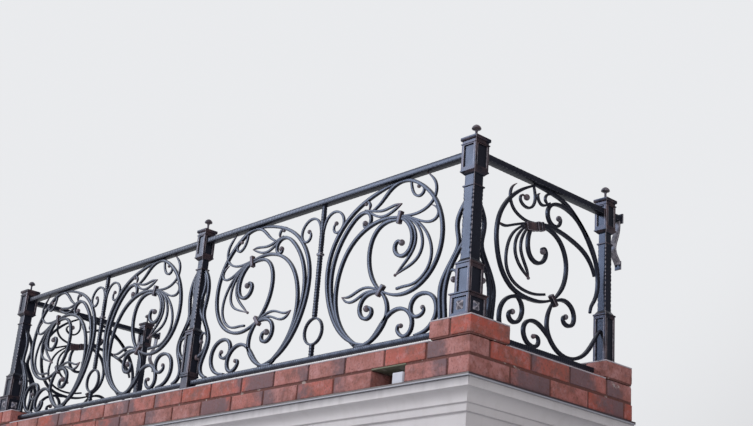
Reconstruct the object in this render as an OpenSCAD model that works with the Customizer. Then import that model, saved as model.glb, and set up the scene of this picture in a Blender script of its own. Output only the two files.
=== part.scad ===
// Wrought iron balcony: scrolled railing on a brick curb over a moulded stone base.
// X runs along the facade, +Y points into the house wall and Z is up.
// The origin is the centre of the underside.

/* [Overall] */
// Distance between the axes of neighbouring front posts
bay_w = 1974; // [1600:1:2300]
// Depth from the front brick face to the house wall
depth = 1060; // [950:1:1400]
// Height of the stone base, from its underside to the floor
base_h = 350; // [320:1:500]

/* [Brick curb] */
// Height of one brick course with its joint
course_h = 82.5; // [65:0.5:95]
// Thickness of the curb
curb_t = 240; // [200:1:300]
// Length of the raised block under a corner post, each way
corner_block_l = 236; // [200:1:300]
// Length of the raised block under an end post, from the wall
wall_block_l = 190; // [160:1:300]
// Width of the drain gap in the lower course
gap_w = 205; // [120:1:240]
// Distance from the corner of the curb to the drain gap
gap_x = 368; // [300:1:800]
// Width and height of the white block in the drain gap
filler_w = 62; // [40:1:80]
filler_h = 50; // [30:1:60]

/* [Stone base] */
// How far the top fascia stands out from the brick face
fascia_out = 10; // [5:1:30]
// Height of the top fascia
fascia_h = 50; // [30:1:70]
// Width and height of the hollow moulding under the fascia
cove_w = 45; // [20:1:80]
cove_h = 51; // [30:1:80]
// Height of the band under the hollow moulding
band_h = 33; // [20:1:60]
// Depth of each step in the base
step_w = 14; // [5:1:20]
// Thickness of the sheet metal flashing
flashing_t = 3; // [1:0.5:5]
// How far the flashing stands out from the brick face
flashing_out = 18; // [12:1:35]
// Height of the turned-down lip of the flashing
lip_h = 10; // [6:1:20]

/* [Posts] */
// Distance of the front railing axis behind the front brick face
front_inset = 62; // [52:1:110]
// Distance of the side railing axis behind the side brick face
side_inset = 82; // [60:1:110]
// Distance of the end post axis from the wall
end_post_gap = 103; // [80:1:160]
// Width of the square shaft of a corner post
shaft_w = 60; // [54:1:66]
// Width of the cap box and the upper base box of a corner post
box_w = 84; // [78:1:92]
// Width of the lower base box of a corner post
lower_box_w = 108; // [100:1:114]
// Width of the square shaft of the centre and end posts
line_shaft_w = 46; // [40:1:52]
// Width of the cap box and the base box of the centre and end posts
line_box_w = 70; // [64:1:76]
// Height of the cap box
cap_box_h = 120; // [112:1:140]
// Height of the lower base box of a corner post
lower_box_h = 94; // [80:1:110]
// Height of the upper base box of a corner post
upper_box_h = 127; // [100:1:150]
// Height of the base box of the centre and end posts
base_box_h = 226; // [180:1:260]
// Width of the frame round a sunk panel
frame_w = 13; // [8:1:16]
// Depth of a sunk panel
sunk = 7; // [3:1:10]
// Width of the pyramid stud on each face of the lower base box
stud_w = 38; // [24:1:44]
// Distance between the hammer dents along a shaft edge
dent_pitch = 20; // [14:1:30]
// Depth of a hammer dent
dent = 3; // [1:0.5:4]
// Diameter of the finial knob
knob_d = 42; // [30:1:50]

/* [Rails] */
// Height of the handrail top over the curb
rail_top = 828; // [760:1:950]
// Height of the handrail bar
handrail_h = 28; // [20:1:36]
// Depth of the handrail bar
handrail_d = 44; // [34:1:56]
// Gap between the curb and the bottom rail
foot_gap = 30; // [15:1:50]
// Height of the bottom rail bar
bottom_rail_h = 22; // [14:1:30]
// Depth of the bottom rail bar
bottom_rail_d = 30; // [18:1:40]

/* [Scrollwork] */
// Thickness of the main scroll bars, in the panel and through it
bar = 16; // [12:1:20]
// Thickness of the leaf and tendril bars
thin_bar = 11; // [8:1:14]
// Diameter of the mullion ring, to the middle of its bar
ring_d = 126; // [100:1:150]
// Height of the ring centre over the curb
ring_z = 175; // [150:1:220]
// Thickness of the square mullion bar
mullion_w = 20; // [16:1:26]

/* [Hidden] */
$fn = 48;

iron = "#2a2d34";
brick = "#a5553f";
stone = "#d8d4cd";
sheet = "#8f959c";

// Plan: the brick outline, the wall and the axes of the railing
x_edge = bay_w + side_inset;
overall_d = depth + flashing_out;
y_wall = overall_d / 2;
y_face = y_wall - depth;
y_front = y_face + front_inset;
y_end = y_wall - end_post_gap;

// Levels
z_curb = base_h + 2 * course_h;
z_block = z_curb + course_h;
z_handrail = z_curb + rail_top - handrail_h;
z_bottom_rail = z_curb + foot_gap;
z_panel = z_bottom_rail + bottom_rail_h;
panel_h = z_handrail - z_panel;

// Levels of the posts. The handrail meets the cap box over the middle of its height.
cap_box_drop = 100;
z_cap_box = z_curb + rail_top - cap_box_drop;
moulding_h = 18;
collar_h = 11;
neck_gap = 46;
shaft_top = z_cap_box - moulding_h;
roof_h = 36;
shoulder_h = 24;
plinth_w = line_box_w - 10;

// The handrail is let into the sunk panel of a box, or butts against its frame when it is too deep
function rail_seat(box) = box / 2 - (handrail_d <= box - 2 * frame_w ? sunk : 0);

// The scrolls are drawn on a sheet of this size, which is stretched to the panel that they fill
SHEET = [987, 748];
half_bay = bay_w / 2;
side_span = y_end - y_front;

// Curves: a smooth line drawn by its control points, which it starts and ends on.
function knots(p) = concat([2 * p[0] - p[1]], p, [2 * p[len(p) - 1] - p[len(p) - 2]]);
function spot(q, i, t) = (pow(1 - t, 3) * q[i] + (3 * pow(t, 3) - 6 * pow(t, 2) + 4) * q[i + 1]
  + (1 + 3 * t + 3 * pow(t, 2) - 3 * pow(t, 3)) * q[i + 2] + pow(t, 3) * q[i + 3]) / 6;
function slope(q, i, t) = (-pow(1 - t, 2) * q[i] + (3 * pow(t, 2) - 4 * t) * q[i + 1]
  + (1 + 2 * t - 3 * pow(t, 2)) * q[i + 2] + pow(t, 2) * q[i + 3]) / 2;
function side_of(v) = [-v[1], v[0]] / norm(v);

// Width of a bar along its run u from 0 to 1, with drawn-out ends
function drawn(u, w, tip0, tip1, run = 0.22) =
  w * min(1, tip0 + (1 - tip0) * sin(90 * min(1, u / run)), tip1 + (1 - tip1) * sin(90 * min(1, (1 - u) / run)));

// Outline of a bar of width w that follows the control points p
function bar_outline(p, w, tip0 = 1, tip1 = 1, n = 3) =
  let (
    q = knots(p),
    last = len(q) - 4,
    at = concat([for (i = [0:last]) for (k = [0:n - 1]) [i, k / n]], [[last, 1]]),
    m = len(at) - 1,
    mid = [for (a = at) spot(q, a[0], a[1])],
    off = [for (j = [0:m]) side_of(slope(q, at[j][0], at[j][1])) * drawn(j / m, w, tip0, tip1) / 2]
  )
  concat([for (j = [0:m]) mid[j] + off[j]], [for (j = [m:-1:0]) mid[j] - off[j]]);

// A point, or a line of points, from the drawing sheet to a panel of this span
function placed(c, span) = [c[0] * span / SHEET[0], c[1] * panel_h / SHEET[1]];
function stretched(p, span) = [for (c = p) placed(c, span)];

module bar_2d(p, w, tip0 = 1, tip1 = 1) {
  polygon(bar_outline(p, w, tip0, tip1));
}

// Turns a drawing in the plane of a panel upright, with its thickness centred
module upright(t) {
  rotate([90, 0, 0]) translate([0, 0, -t / 2]) linear_extrude(height = t) children();
}

// The control points of the motif, from the mullion axis (X) and up from the bottom rail (Y).
sweep_outer = [[400, 5], [330, 12], [262, 36], [196, 82], [138, 150], [94, 236], [68, 330], [64, 428], [92, 520],
  [145, 598], [214, 658], [290, 696], [365, 720], [440, 737], [505, 744]];
sweep_middle = [[300, 8], [208, 84], [150, 163], [110, 255], [94, 352], [106, 442], [143, 526], [198, 594],
  [250, 637], [296, 650], [335, 637], [352, 603], [337, 570], [308, 566], [298, 586], [310, 598]];
sweep_inner = [[535, 572], [470, 583], [402, 583], [335, 568], [274, 541], [218, 497], [173, 434], [146, 358],
  [137, 276], [150, 192], [188, 116], [245, 56], [315, 16]];
heart_left = [[530, 560], [478, 568], [425, 560], [384, 530], [358, 482], [351, 421], [362, 358], [388, 303],
  [420, 264], [448, 242]];
great_ring = [[362, 643], [405, 664], [440, 697], [480, 730], [537, 748], [600, 737], [662, 704], [718, 660],
  [764, 608], [798, 545], [817, 476], [818, 407], [802, 343], [771, 289], [727, 247], [672, 217], [612, 202],
  [552, 203], [495, 219], [448, 242]];
heart_scroll = [[540, 566], [582, 548], [616, 511], [633, 464], [630, 419], [607, 387], [570, 377], [535, 393],
  [518, 422], [523, 450], [545, 461], [566, 444]];
leaf_inner = [[550, 568], [600, 545], [640, 502], [656, 452], [648, 406], [618, 368], [578, 334], [536, 298]];
leaf_outer = [[555, 570], [620, 545], [670, 498], [697, 443], [698, 392], [674, 352], [632, 329], [585, 316],
  [536, 298]];
leaf_long = [[560, 572], [638, 541], [700, 489], [742, 430], [760, 368], [752, 314], [722, 272], [680, 244],
  [635, 235], [592, 238], [549, 234]];
tendril = [[545, 574], [612, 563], [672, 565], [722, 581], [757, 611], [769, 653], [755, 702], [700, 748]];
tendril_loop = [[565, 570], [622, 550], [668, 527], [712, 509], [755, 505], [784, 521], [788, 549], [769, 571],
  [742, 583]];
top_knot = [[600, 730], [608, 688], [627, 657], [655, 642], [681, 650], [691, 674], [675, 696], [651, 698]];
beak_upper = [[300, 655], [360, 640], [411, 626], [457, 629], [503, 638], [548, 634]];
beak_lower = [[325, 645], [370, 615], [414, 596], [460, 598], [505, 614], [548, 634]];
beak_hook = [[262, 680], [293, 704], [322, 696], [338, 674], [328, 652]];
fin_upper = [[440, 248], [385, 269], [337, 277], [296, 269], [258, 254], [222, 246], [186, 256]];
fin_lower = [[440, 244], [380, 254], [334, 249], [294, 230], [255, 219], [216, 226], [186, 256]];
foot_scroll = [[446, 238], [388, 245], [342, 233], [316, 202], [314, 162], [338, 130], [374, 122], [400, 140],
  [398, 168], [376, 180], [362, 174]];
foot_sweep = [[450, 238], [482, 206], [500, 167], [502, 128], [488, 90], [456, 50], [412, 20], [360, 2], [300, 7]];
rail_scroll = [[385, 12], [425, 36], [458, 71], [487, 104], [523, 131], [568, 143], [615, 133], [652, 104],
  [668, 62], [656, 22], [622, 3], [588, 20], [568, 46], [578, 66], [596, 62]];
corner_scroll = [[680, 4], [745, 10], [785, 40], [806, 75], [808, 110], [797, 148], [760, 180], [708, 188],
  [668, 176], [646, 145], [648, 108], [672, 86], [706, 84], [734, 102], [728, 122]];
// A motif is its main bars, its thin bars drawn out to points, its thin bars with blunt ends, its ball
// ends (place and diameter) and the collars that hold its bundles (place, turn and length)
FRONT_MOTIF = [
  [sweep_outer, sweep_middle, sweep_inner, heart_left, great_ring, heart_scroll, foot_scroll, foot_sweep,
    rail_scroll, corner_scroll],
  [leaf_inner, leaf_outer, tendril, tendril_loop, top_knot, beak_upper, beak_lower, beak_hook, fin_upper, fin_lower],
  [leaf_long],
  [[308, 590, 28], [564, 445, 30], [651, 694, 20], [304, 686, 18], [362, 174, 32], [594, 60, 22], [722, 122, 22],
    [535, 299, 15]],
  [[541, 569, 12, 60], [447, 243, 40, 58]]];

// The smith bent the side motif freely after the front one, from the end post (X) to the corner post.
side_sweep_outer = [[560, 745], [480, 743], [400, 738], [340, 728], [270, 700], [200, 650], [150, 610], [108, 566],
  [72, 505], [52, 430], [58, 355], [84, 310], [108, 284], [115, 250]];
side_sweep_middle = [[66, 480], [110, 560], [180, 640], [250, 684], [350, 706], [428, 692], [460, 655], [455, 616],
  [430, 590], [390, 586], [358, 608], [354, 640], [374, 638]];
side_sweep_inner = [[600, 540], [520, 565], [450, 580], [350, 575], [230, 550], [150, 520], [100, 470], [85, 430]];
side_circle = [[580, 520], [540, 555], [500, 566], [430, 565], [350, 530], [308, 460], [303, 400], [320, 330],
  [360, 280], [400, 245]];
side_ring = [[400, 245], [480, 215], [560, 208], [650, 213], [722, 238], [784, 300], [812, 380], [822, 450],
  [812, 520], [782, 580], [730, 640], [660, 692], [600, 722], [556, 742]];
side_heart = [[560, 550], [592, 510], [600, 450], [582, 400], [530, 378], [480, 398], [456, 438], [468, 468],
  [496, 460], [490, 446]];
side_leaf_inner = [[600, 530], [640, 480], [652, 420], [622, 370], [590, 330], [582, 300]];
side_leaf_outer = [[620, 530], [682, 470], [692, 400], [660, 348], [606, 314], [582, 300]];
side_leaf_long = [[620, 540], [700, 490], [737, 430], [752, 355], [738, 300], [700, 262], [636, 240], [545, 235],
  [462, 256]];
side_tendril = [[520, 570], [600, 553], [680, 570], [722, 600], [738, 645], [726, 690], [690, 712]];
side_loop = [[620, 545], [720, 510], [764, 490], [812, 500]];
side_knot = [[565, 736], [549, 690], [555, 650], [590, 618], [640, 622], [668, 648], [650, 676], [622, 668]];
side_curl_inner = [[440, 690], [470, 670], [500, 660], [527, 674], [537, 706], [518, 714]];
side_curl_outer = [[420, 738], [450, 732], [476, 716], [480, 690], [455, 680]];
side_foot_scroll = [[395, 240], [350, 260], [300, 264], [252, 242], [234, 200], [246, 162], [288, 148], [324, 162],
  [324, 188], [302, 194]];
side_foot_sweep = [[395, 240], [432, 190], [447, 130], [432, 78], [382, 30], [320, 6], [250, 5], [160, 38],
  [100, 100], [50, 170], [30, 185]];
side_rail_scroll = [[415, 60], [455, 92], [500, 116], [545, 122], [588, 110], [613, 78], [605, 36], [570, 8],
  [526, 4], [494, 26], [500, 58], [532, 58]];
side_corner_scroll = [[600, 206], [645, 204], [690, 198], [742, 174], [776, 130], [782, 80], [768, 30], [745, 4]];
side_corner_curl = [[664, 202], [632, 186], [616, 150], [632, 104], [668, 80], [708, 86], [720, 116], [698, 132]];
SIDE_MOTIF = [
  [side_sweep_outer, side_sweep_middle, side_sweep_inner, side_circle, side_ring, side_heart, side_foot_scroll,
    side_foot_sweep, side_rail_scroll, side_corner_scroll, side_corner_curl],
  [side_leaf_inner, side_leaf_outer, side_tendril, side_loop, side_knot, side_curl_inner, side_curl_outer],
  [side_leaf_long],
  [[370, 634, 28], [484, 448, 28], [614, 668, 30], [302, 190, 26], [536, 52, 22], [688, 128, 26], [584, 302, 16]],
  [[570, 552, 16, 58], [397, 243, 42, 58]]];

// Beside a post the scrolls stand on the raised block or sweep down to the bottom rail: the two bars,
// the curl between them and the ball ends.
BLOCK_SCROLLS = [
  [[975, 580], [940, 545], [906, 492], [901, 450], [912, 405], [921, 368], [906, 332], [868, 282], [829, 222],
    [818, 176], [826, 110], [831, 65], [834, 25]],
  [[975, 395], [940, 362], [908, 324], [876, 272], [853, 212], [846, 150], [856, 80], [862, 25]],
  [[848, 200], [856, 244], [886, 262], [914, 250], [918, 222], [900, 212]],
  [[898, 214, 28]]];
RAIL_SCROLLS = [
  [[975, 606], [940, 590], [908, 528], [901, 465], [914, 405], [925, 362], [910, 320], [876, 270], [846, 218],
    [852, 168], [884, 112], [902, 62], [880, 20], [835, 3]],
  [[975, 610], [942, 570], [932, 530], [938, 480], [966, 432], [962, 382], [932, 340], [898, 298], [868, 250],
    [856, 208], [866, 168], [896, 134], [934, 122]],
  [[858, 205], [872, 240], [900, 252], [924, 238], [930, 212], [914, 200]],
  [[914, 202, 24], [936, 122, 30]]];
mullion_scroll = [[6, 600], [14, 650], [38, 688], [80, 703], [126, 690], [158, 650], [153, 604], [118, 580],
  [86, 594], [82, 624], [100, 638]];

module at_spot(c, span) {
  at = placed(c, span);
  translate([at[0], 0, at[1]]) children();
}

// Ball end of a scroll: place and diameter
module eye(e, span) {
  at_spot(e, span) sphere(d = e[2]);
}

// Scroll motif that fills a panel from X = 0 to X = span
module motif(span, drawing) {
  upright(bar) intersection() {
    union() {
      for (p = drawing[0]) bar_2d(stretched(p, span), bar, 0.6, 0.6);
    }
    square([span, panel_h]);
  }
  upright(thin_bar) intersection() {
    union() {
      for (p = drawing[1]) bar_2d(stretched(p, span), thin_bar, 0.8, 0.3);
      for (p = drawing[2]) bar_2d(stretched(p, span), thin_bar, 0.8, 1);
    }
    square([span, panel_h]);
  }
  for (e = drawing[3]) eye(e, span);
  for (c = drawing[4]) at_spot(c, span) rotate([0, c[2], 0]) cube([bar + 3, bar + 8, c[3]], center = true);
}

// The foot of the bars is at the level given, and their heads end on a post shaft of width w
module post_scrolls(span, foot, w, drawing) {
  upright(bar) intersection() {
    union() {
      bar_2d(stretched(drawing[0], span), bar);
      bar_2d(stretched(drawing[1], span), bar);
    }
    translate([0, foot]) square([span - w / 2, panel_h]);
  }
  upright(thin_bar) bar_2d(stretched(drawing[2], span), thin_bar, 0.8, 0.8);
  for (e = drawing[3]) eye(e, span);
}

// Square moulding: the half profile is swept round the four sides by crossing two extrusions.
module square_moulding(profile, reach) {
  outline = concat(profile, [for (i = [len(profile) - 1:-1:0]) [-profile[i][0], profile[i][1]]]);
  intersection() {
    rotate([90, 0, 0]) translate([0, 0, -reach]) linear_extrude(height = 2 * reach) polygon(outline);
    rotate([90, 0, 90]) translate([0, 0, -reach]) linear_extrude(height = 2 * reach) polygon(outline);
  }
}

// Square box with a sunk panel on each face, and the height of the frame under and over the panel
module panel_box(w, h, under = frame_w, over = frame_w) {
  difference() {
    translate([-w / 2, -w / 2, 0]) cube([w, w, h]);
    for (a = [0:90:270]) rotate([0, 0, a])
      translate([-w / 2 + frame_w, w / 2 - sunk, under]) cube([w - 2 * frame_w, w, h - under - over]);
  }
}

// Square bar whose four edges are dented by hammer blows at an even pitch
module hammered_bar(w, h, pitch, depth_of_dent, cuts = 4) {
  dents = round(h / pitch);
  half = w * sqrt(2) / 2 - depth_of_dent / 3;
  side = [for (i = [0:cuts * dents]) [half - depth_of_dent * (1 - abs(cos(180 * i / cuts))), i * h / dents / cuts]];
  intersection() {
    translate([-w / 2, -w / 2, 0]) cube([w, w, h]);
    rotate([0, 0, 45]) square_moulding(side, w);
  }
}

// Finial: a neck that widens under a flat-bottomed dome
module knob() {
  r = knob_d / 2;
  rotate_extrude() polygon([[0, 0], [9, 0], [9, 4], [6, 10], [5.5, 30], [8, 37.5], [r * 0.67, 40.5], [r - 1.5, 42.5],
    [r, 44], [r, 47], [r * 0.9, 52], [r * 0.71, 57], [r * 0.48, 61], [r * 0.24, 63.3], [0, 64]]);
}

// Moulding, box, roof and finial of a post, on a shaft of width w
module post_head(box, w) {
  b = box / 2;
  translate([0, 0, shaft_top]) square_moulding([[w / 2 - 4, 0], [w / 2 + 2, 0], [w / 2 + 5, 4], [b - 2, 9],
    [b + 3, 13], [b + 3, moulding_h], [w / 2 - 4, moulding_h]], box);
  translate([0, 0, z_cap_box]) panel_box(box, cap_box_h, under = 15, over = 5);
  // Ledge, band and roof plate
  translate([0, 0, z_cap_box + cap_box_h]) square_moulding([[b + 3, 0], [b + 3, 4], [b - 1.5, 4], [b - 1.5, 17],
    [b + 3, 17], [b + 5, 20], [b + 5, 32], [b - 5, roof_h]], box);
  translate([0, 0, z_cap_box + cap_box_h + roof_h]) knob();
}

// Hammered shaft from z0 up, with its collar and the plain neck over it
module shaft(z0, w) {
  plain = shaft_top - neck_gap - collar_h;
  translate([0, 0, z0]) hammered_bar(w, plain - z0, dent_pitch, dent);
  translate([0, 0, plain]) square_moulding([[w / 2 - 4, 0], [w / 2, 0], [w / 2 + 5, 3], [w / 2 + 5, collar_h - 3],
    [w / 2, collar_h], [w / 2 - 4, collar_h]], w);
  translate([-w / 2 + 2, -w / 2 + 2, plain + collar_h]) cube([w - 4, w - 4, neck_gap]);
}

// Sloped top of a base box that leads up to a shaft of width w
module box_shoulder(box, w) {
  b = box / 2;
  square_moulding([[b, 0], [b + 3, 2], [b + 3, 8], [b - 3, 11], [w / 2 + 1, shoulder_h], [w / 2 - 6, shoulder_h]],
    box);
}

module corner_post() {
  plate = 6;
  z_upper = z_block + lower_box_h + plate;
  z_shoulder = z_upper + upper_box_h;
  stud_h = 12;
  plate_w = lower_box_w + 10;
  color(iron) {
    translate([0, 0, z_block]) panel_box(lower_box_w, lower_box_h);
    for (a = [0:90:270]) rotate([0, 0, a])
      translate([0, sunk - lower_box_w / 2, z_block + lower_box_h / 2]) rotate([90, 0, 0])
        square_moulding([[stud_w / 2, 0], [1, stud_h]], stud_w);
    translate([-plate_w / 2, -plate_w / 2, z_block + lower_box_h]) cube([plate_w, plate_w, plate]);
    translate([0, 0, z_upper]) panel_box(box_w, upper_box_h, under = 7, over = 17);
    translate([0, 0, z_shoulder]) box_shoulder(box_w, shaft_w);
    shaft(z_shoulder + shoulder_h - 4, shaft_w);
    post_head(box_w, shaft_w);
  }
}

// Centre or end post. The centre post stands on the curb with a plinth under its box.
module line_post(z_foot, plinth_h) {
  z_box = z_foot + plinth_h + (plinth_h > 0 ? 7 : 0);
  b = line_box_w / 2;
  color(iron) {
    if (plinth_h > 0) {
      translate([-plinth_w / 2, -plinth_w / 2, z_foot]) cube([plinth_w, plinth_w, plinth_h]);
      translate([0, 0, z_foot + plinth_h - 8]) square_moulding([[b - 9, 0], [b - 5, 0], [b + 2, 5], [b + 2, 12],
        [b, 15], [b - 9, 15]], line_box_w);
    }
    translate([0, 0, z_box]) panel_box(line_box_w, base_box_h);
    translate([0, 0, z_box + base_box_h]) box_shoulder(line_box_w, line_shaft_w);
    shaft(z_box + base_box_h + shoulder_h - 4, line_shaft_w);
    post_head(line_box_w, line_shaft_w);
  }
}

// Stone base. The profile runs down from the brick face and is cut round the three open sides.
base_profile = concat([[fascia_out, base_h - flashing_t], [fascia_out, base_h - fascia_h]],
  [for (a = [90:-10:0]) [fascia_out - cove_w * cos(a) - 3, base_h - fascia_h - cove_h * (1 - sin(a))]],
  [[fascia_out - cove_w - step_w, base_h - fascia_h - cove_h],
   [fascia_out - cove_w - step_w, base_h - fascia_h - cove_h - band_h],
   [fascia_out - cove_w - 2 * step_w, base_h - fascia_h - cove_h - band_h],
   [fascia_out - cove_w - 2 * step_w, 36], [fascia_out - cove_w - step_w, 30], [fascia_out - cove_w - step_w, 0]]);
core_in = 150;
// The cutting solids reach this far past the base
spare = 100;

module base_mass() {
  side = concat([for (p = base_profile) [x_edge + p[0], p[1]]],
    [for (i = [len(base_profile) - 1:-1:0]) [-x_edge - base_profile[i][0], base_profile[i][1]]]);
  front = concat([for (p = base_profile) [y_face - p[0], p[1]]], [[y_wall, 0], [y_wall, base_h - flashing_t]]);
  intersection() {
    rotate([90, 0, 0]) translate([0, 0, -overall_d]) linear_extrude(height = 2 * overall_d) polygon(side);
    rotate([90, 0, 90]) translate([0, 0, -2 * x_edge]) linear_extrude(height = 4 * x_edge) polygon(front);
  }
}

module floor_slab() {
  color(stone) translate([-x_edge + core_in, y_face + core_in, 0])
    cube([2 * (x_edge - core_in), depth - core_in, base_h]);
}

// Keeps what lies in front of the two mitre lines at the corners
module front_zone() {
  translate([0, 0, -1]) linear_extrude(height = base_h + 2) polygon([[-x_edge - spare, y_face - spare],
    [x_edge + spare, y_face - spare], [x_edge - core_in, y_face + core_in], [-x_edge + core_in, y_face + core_in]]);
}

module side_zone(s) {
  translate([0, 0, -1]) linear_extrude(height = base_h + 2) polygon([[s * (x_edge + spare), y_face - spare],
    [s * (x_edge - core_in), y_face + core_in], [s * (x_edge - core_in), y_wall], [s * (x_edge + spare), y_wall]]);
}

module cornice_front() {
  color(stone) intersection() {
    base_mass();
    front_zone();
  }
}

module cornice_side(s) {
  color(stone) intersection() {
    base_mass();
    side_zone(s);
  }
}

module flashing() {
  out = flashing_out;
  z = base_h - flashing_t;
  color(sheet) difference() {
    translate([-x_edge - out, y_face - out, z - lip_h])
      cube([2 * (x_edge + out), depth + out, lip_h + flashing_t]);
    translate([-x_edge - out + flashing_t, y_face - out + flashing_t, z - lip_h - 1])
      cube([2 * (x_edge + out - flashing_t), depth + out, lip_h + 1]);
    translate([-x_edge + core_in, y_face + core_in, z - lip_h - 1])
      cube([2 * (x_edge - core_in), depth, lip_h + flashing_t + 2]);
  }
}

// Brick curb
module curb_front_upper() {
  color(brick) translate([-x_edge, y_face, base_h + course_h]) cube([2 * x_edge, curb_t, course_h]);
}

module curb_front_lower() {
  gap_at = x_edge - gap_x - gap_w;
  color(brick) {
    translate([-x_edge, y_face, base_h]) cube([x_edge + gap_at, curb_t, course_h]);
    translate([gap_at + gap_w, y_face, base_h]) cube([gap_x, curb_t, course_h]);
  }
}

module curb_side(s) {
  color(brick) translate([s > 0 ? x_edge - curb_t : -x_edge, y_face + curb_t, base_h])
    cube([curb_t, depth - curb_t, 2 * course_h]);
}

module corner_block(s) {
  color(brick) translate([s > 0 ? x_edge - corner_block_l : -x_edge, y_face, z_curb])
    cube([corner_block_l, corner_block_l, course_h]);
}

module wall_block(s) {
  color(brick) translate([s > 0 ? x_edge - curb_t : -x_edge, y_wall - wall_block_l, z_curb])
    cube([curb_t, wall_block_l, course_h]);
}

// Block that narrows the drain gap, against the bricks on its right
module gap_filler() {
  stands_out = 8;
  color("white") translate([x_edge - gap_x - filler_w, y_face - stands_out, base_h])
    cube([filler_w, curb_t / 2 + stands_out, filler_h]);
}

module handrail_front(s) {
  x0 = rail_seat(line_box_w);
  x1 = bay_w - rail_seat(box_w);
  color(iron) translate([s > 0 ? x0 : -x1, y_front - handrail_d / 2, z_handrail])
    cube([x1 - x0, handrail_d, handrail_h]);
}

module handrail_side(s) {
  y0 = y_front + rail_seat(box_w);
  y1 = y_end - rail_seat(line_box_w);
  color(iron) translate([s * bay_w - handrail_d / 2, y0, z_handrail]) cube([handrail_d, y1 - y0, handrail_h]);
}

module handrail_stub(s) {
  flange_w = handrail_d + 14;
  flange_h = handrail_h + 20;
  flange_t = 8;
  y0 = y_end + rail_seat(line_box_w);
  color(iron) {
    translate([s * bay_w - handrail_d / 2, y0, z_handrail]) cube([handrail_d, y_wall - y0, handrail_h]);
    translate([s * bay_w - flange_w / 2, y_wall - flange_t, z_handrail + handrail_h / 2 - flange_h / 2])
      cube([flange_w, flange_t, flange_h]);
  }
}

module bottom_rail_front(s) {
  x0 = plinth_w / 2;
  x1 = bay_w + side_inset - corner_block_l;
  color(iron) translate([s > 0 ? x0 : -x1, y_front - bottom_rail_d / 2, z_bottom_rail])
    cube([x1 - x0, bottom_rail_d, bottom_rail_h]);
}

module bottom_rail_side(s) {
  y0 = y_face + corner_block_l;
  y1 = y_wall - wall_block_l;
  color(iron) translate([s * bay_w - bottom_rail_d / 2, y0, z_bottom_rail])
    cube([bottom_rail_d, y1 - y0, bottom_rail_h]);
}

// Mullion: a hammered bar from the handrail to a ring that stands on the bottom rail
module mullion(s) {
  ring_top = z_curb + ring_z + ring_d / 2;
  ring_bar = 11;
  color(iron) translate([s * half_bay, y_front, 0]) {
    translate([0, 0, ring_top]) hammered_bar(mullion_w, z_handrail - ring_top, 14, 1.5, 2);
    translate([0, 0, z_curb + ring_z]) rotate([90, 0, 0]) rotate_extrude()
      translate([ring_d / 2, 0]) square([ring_bar, bar], center = true);
    translate([-mullion_w / 2, -mullion_w / 2, z_panel])
      cube([mullion_w, mullion_w, ring_z - ring_d / 2 - foot_gap - bottom_rail_h]);
    translate([0, 0, z_panel + placed([0, 500], half_bay)[1]]) cube([mullion_w + 8, mullion_w + 8, 12], center = true);
    for (m = [0, 1]) mirror([m, 0, 0]) translate([0, 0, z_panel]) {
      upright(thin_bar) bar_2d(stretched(mullion_scroll, half_bay), thin_bar, 1, 0.7);
      eye([100, 636, 22], half_bay);
    }
  }
}

// Front panels, numbered from the left: 1 and 3 have their post on the left, 2 and 4 on the right
module scroll_panel(i) {
  axis = (i <= 2 ? -1 : 1) * half_bay;
  color(iron) translate([axis, y_front, z_panel]) mirror([i == 1 || i == 3 ? 1 : 0, 0, 0])
    motif(half_bay, FRONT_MOTIF);
}

module scroll_panel_side(s) {
  color(iron) translate([s * bay_w, y_end, z_panel]) rotate([0, 0, -90]) motif(side_span, SIDE_MOTIF);
}

module post_scroll_corner(s) {
  color(iron) translate([s * half_bay, y_front, z_panel]) mirror([s > 0 ? 0 : 1, 0, 0])
    post_scrolls(half_bay, z_block - z_panel, shaft_w, BLOCK_SCROLLS);
}

module post_scroll_centre() {
  color(iron) for (s = [-1, 1]) translate([s * half_bay, y_front, z_panel]) mirror([s > 0 ? 1 : 0, 0, 0])
    post_scrolls(half_bay, 0, line_shaft_w, RAIL_SCROLLS);
}

module post_scroll_side(s) {
  color(iron) translate([s * bay_w, y_end, z_panel]) rotate([0, 0, -90])
    post_scrolls(side_span, z_block - z_panel, shaft_w, BLOCK_SCROLLS);
}

// Strap scroll from under the end of the handrail to its lug on the wall
module wall_scroll(s) {
  reach = end_post_gap - line_box_w / 2;
  strap_w = 36;
  strap_t = 8;
  drop = 300;
  lug_z = -217;
  lug_h = 42;
  p = [[reach - 12, 8], [reach - 12, -24], [reach - 14, -50], [reach - 23, -80], [reach - 37, -115],
    [reach - 45, -143], [reach - 38, -169], [reach - 20, -188], [reach - 3, -203], [reach + 5, lug_z]];
  color(iron) translate([s * bay_w, y_end + line_box_w / 2, z_handrail]) rotate([0, 0, 90]) {
    upright(strap_w) intersection() {
      bar_2d(p, strap_t);
      translate([0, -drop]) square([reach, drop]);
    }
    translate([reach - 5, -strap_w / 2, lug_z - lug_h / 2]) cube([5, strap_w, lug_h]);
  }
}

floor_slab();
cornice_front();
cornice_side(-1);  // cornice_left
cornice_side(1);  // cornice_right
flashing();
curb_front_upper();
curb_front_lower();
curb_side(-1);  // curb_left
curb_side(1);  // curb_right
corner_block(-1);  // corner_block_left
corner_block(1);  // corner_block_right
wall_block(-1);  // wall_block_left
wall_block(1);  // wall_block_right
gap_filler();
translate([-bay_w, y_front, 0]) corner_post();  // corner_post_left
translate([bay_w, y_front, 0]) corner_post();  // corner_post_right
translate([0, y_front, 0]) line_post(z_curb, course_h - 5);  // centre_post
translate([-bay_w, y_end, 0]) line_post(z_block, 0);  // end_post_left
translate([bay_w, y_end, 0]) line_post(z_block, 0);  // end_post_right
handrail_front(-1);  // handrail_front_left
handrail_front(1);  // handrail_front_right
handrail_side(-1);  // handrail_side_left
handrail_side(1);  // handrail_side_right
handrail_stub(-1);  // handrail_stub_left
handrail_stub(1);  // handrail_stub_right
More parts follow.
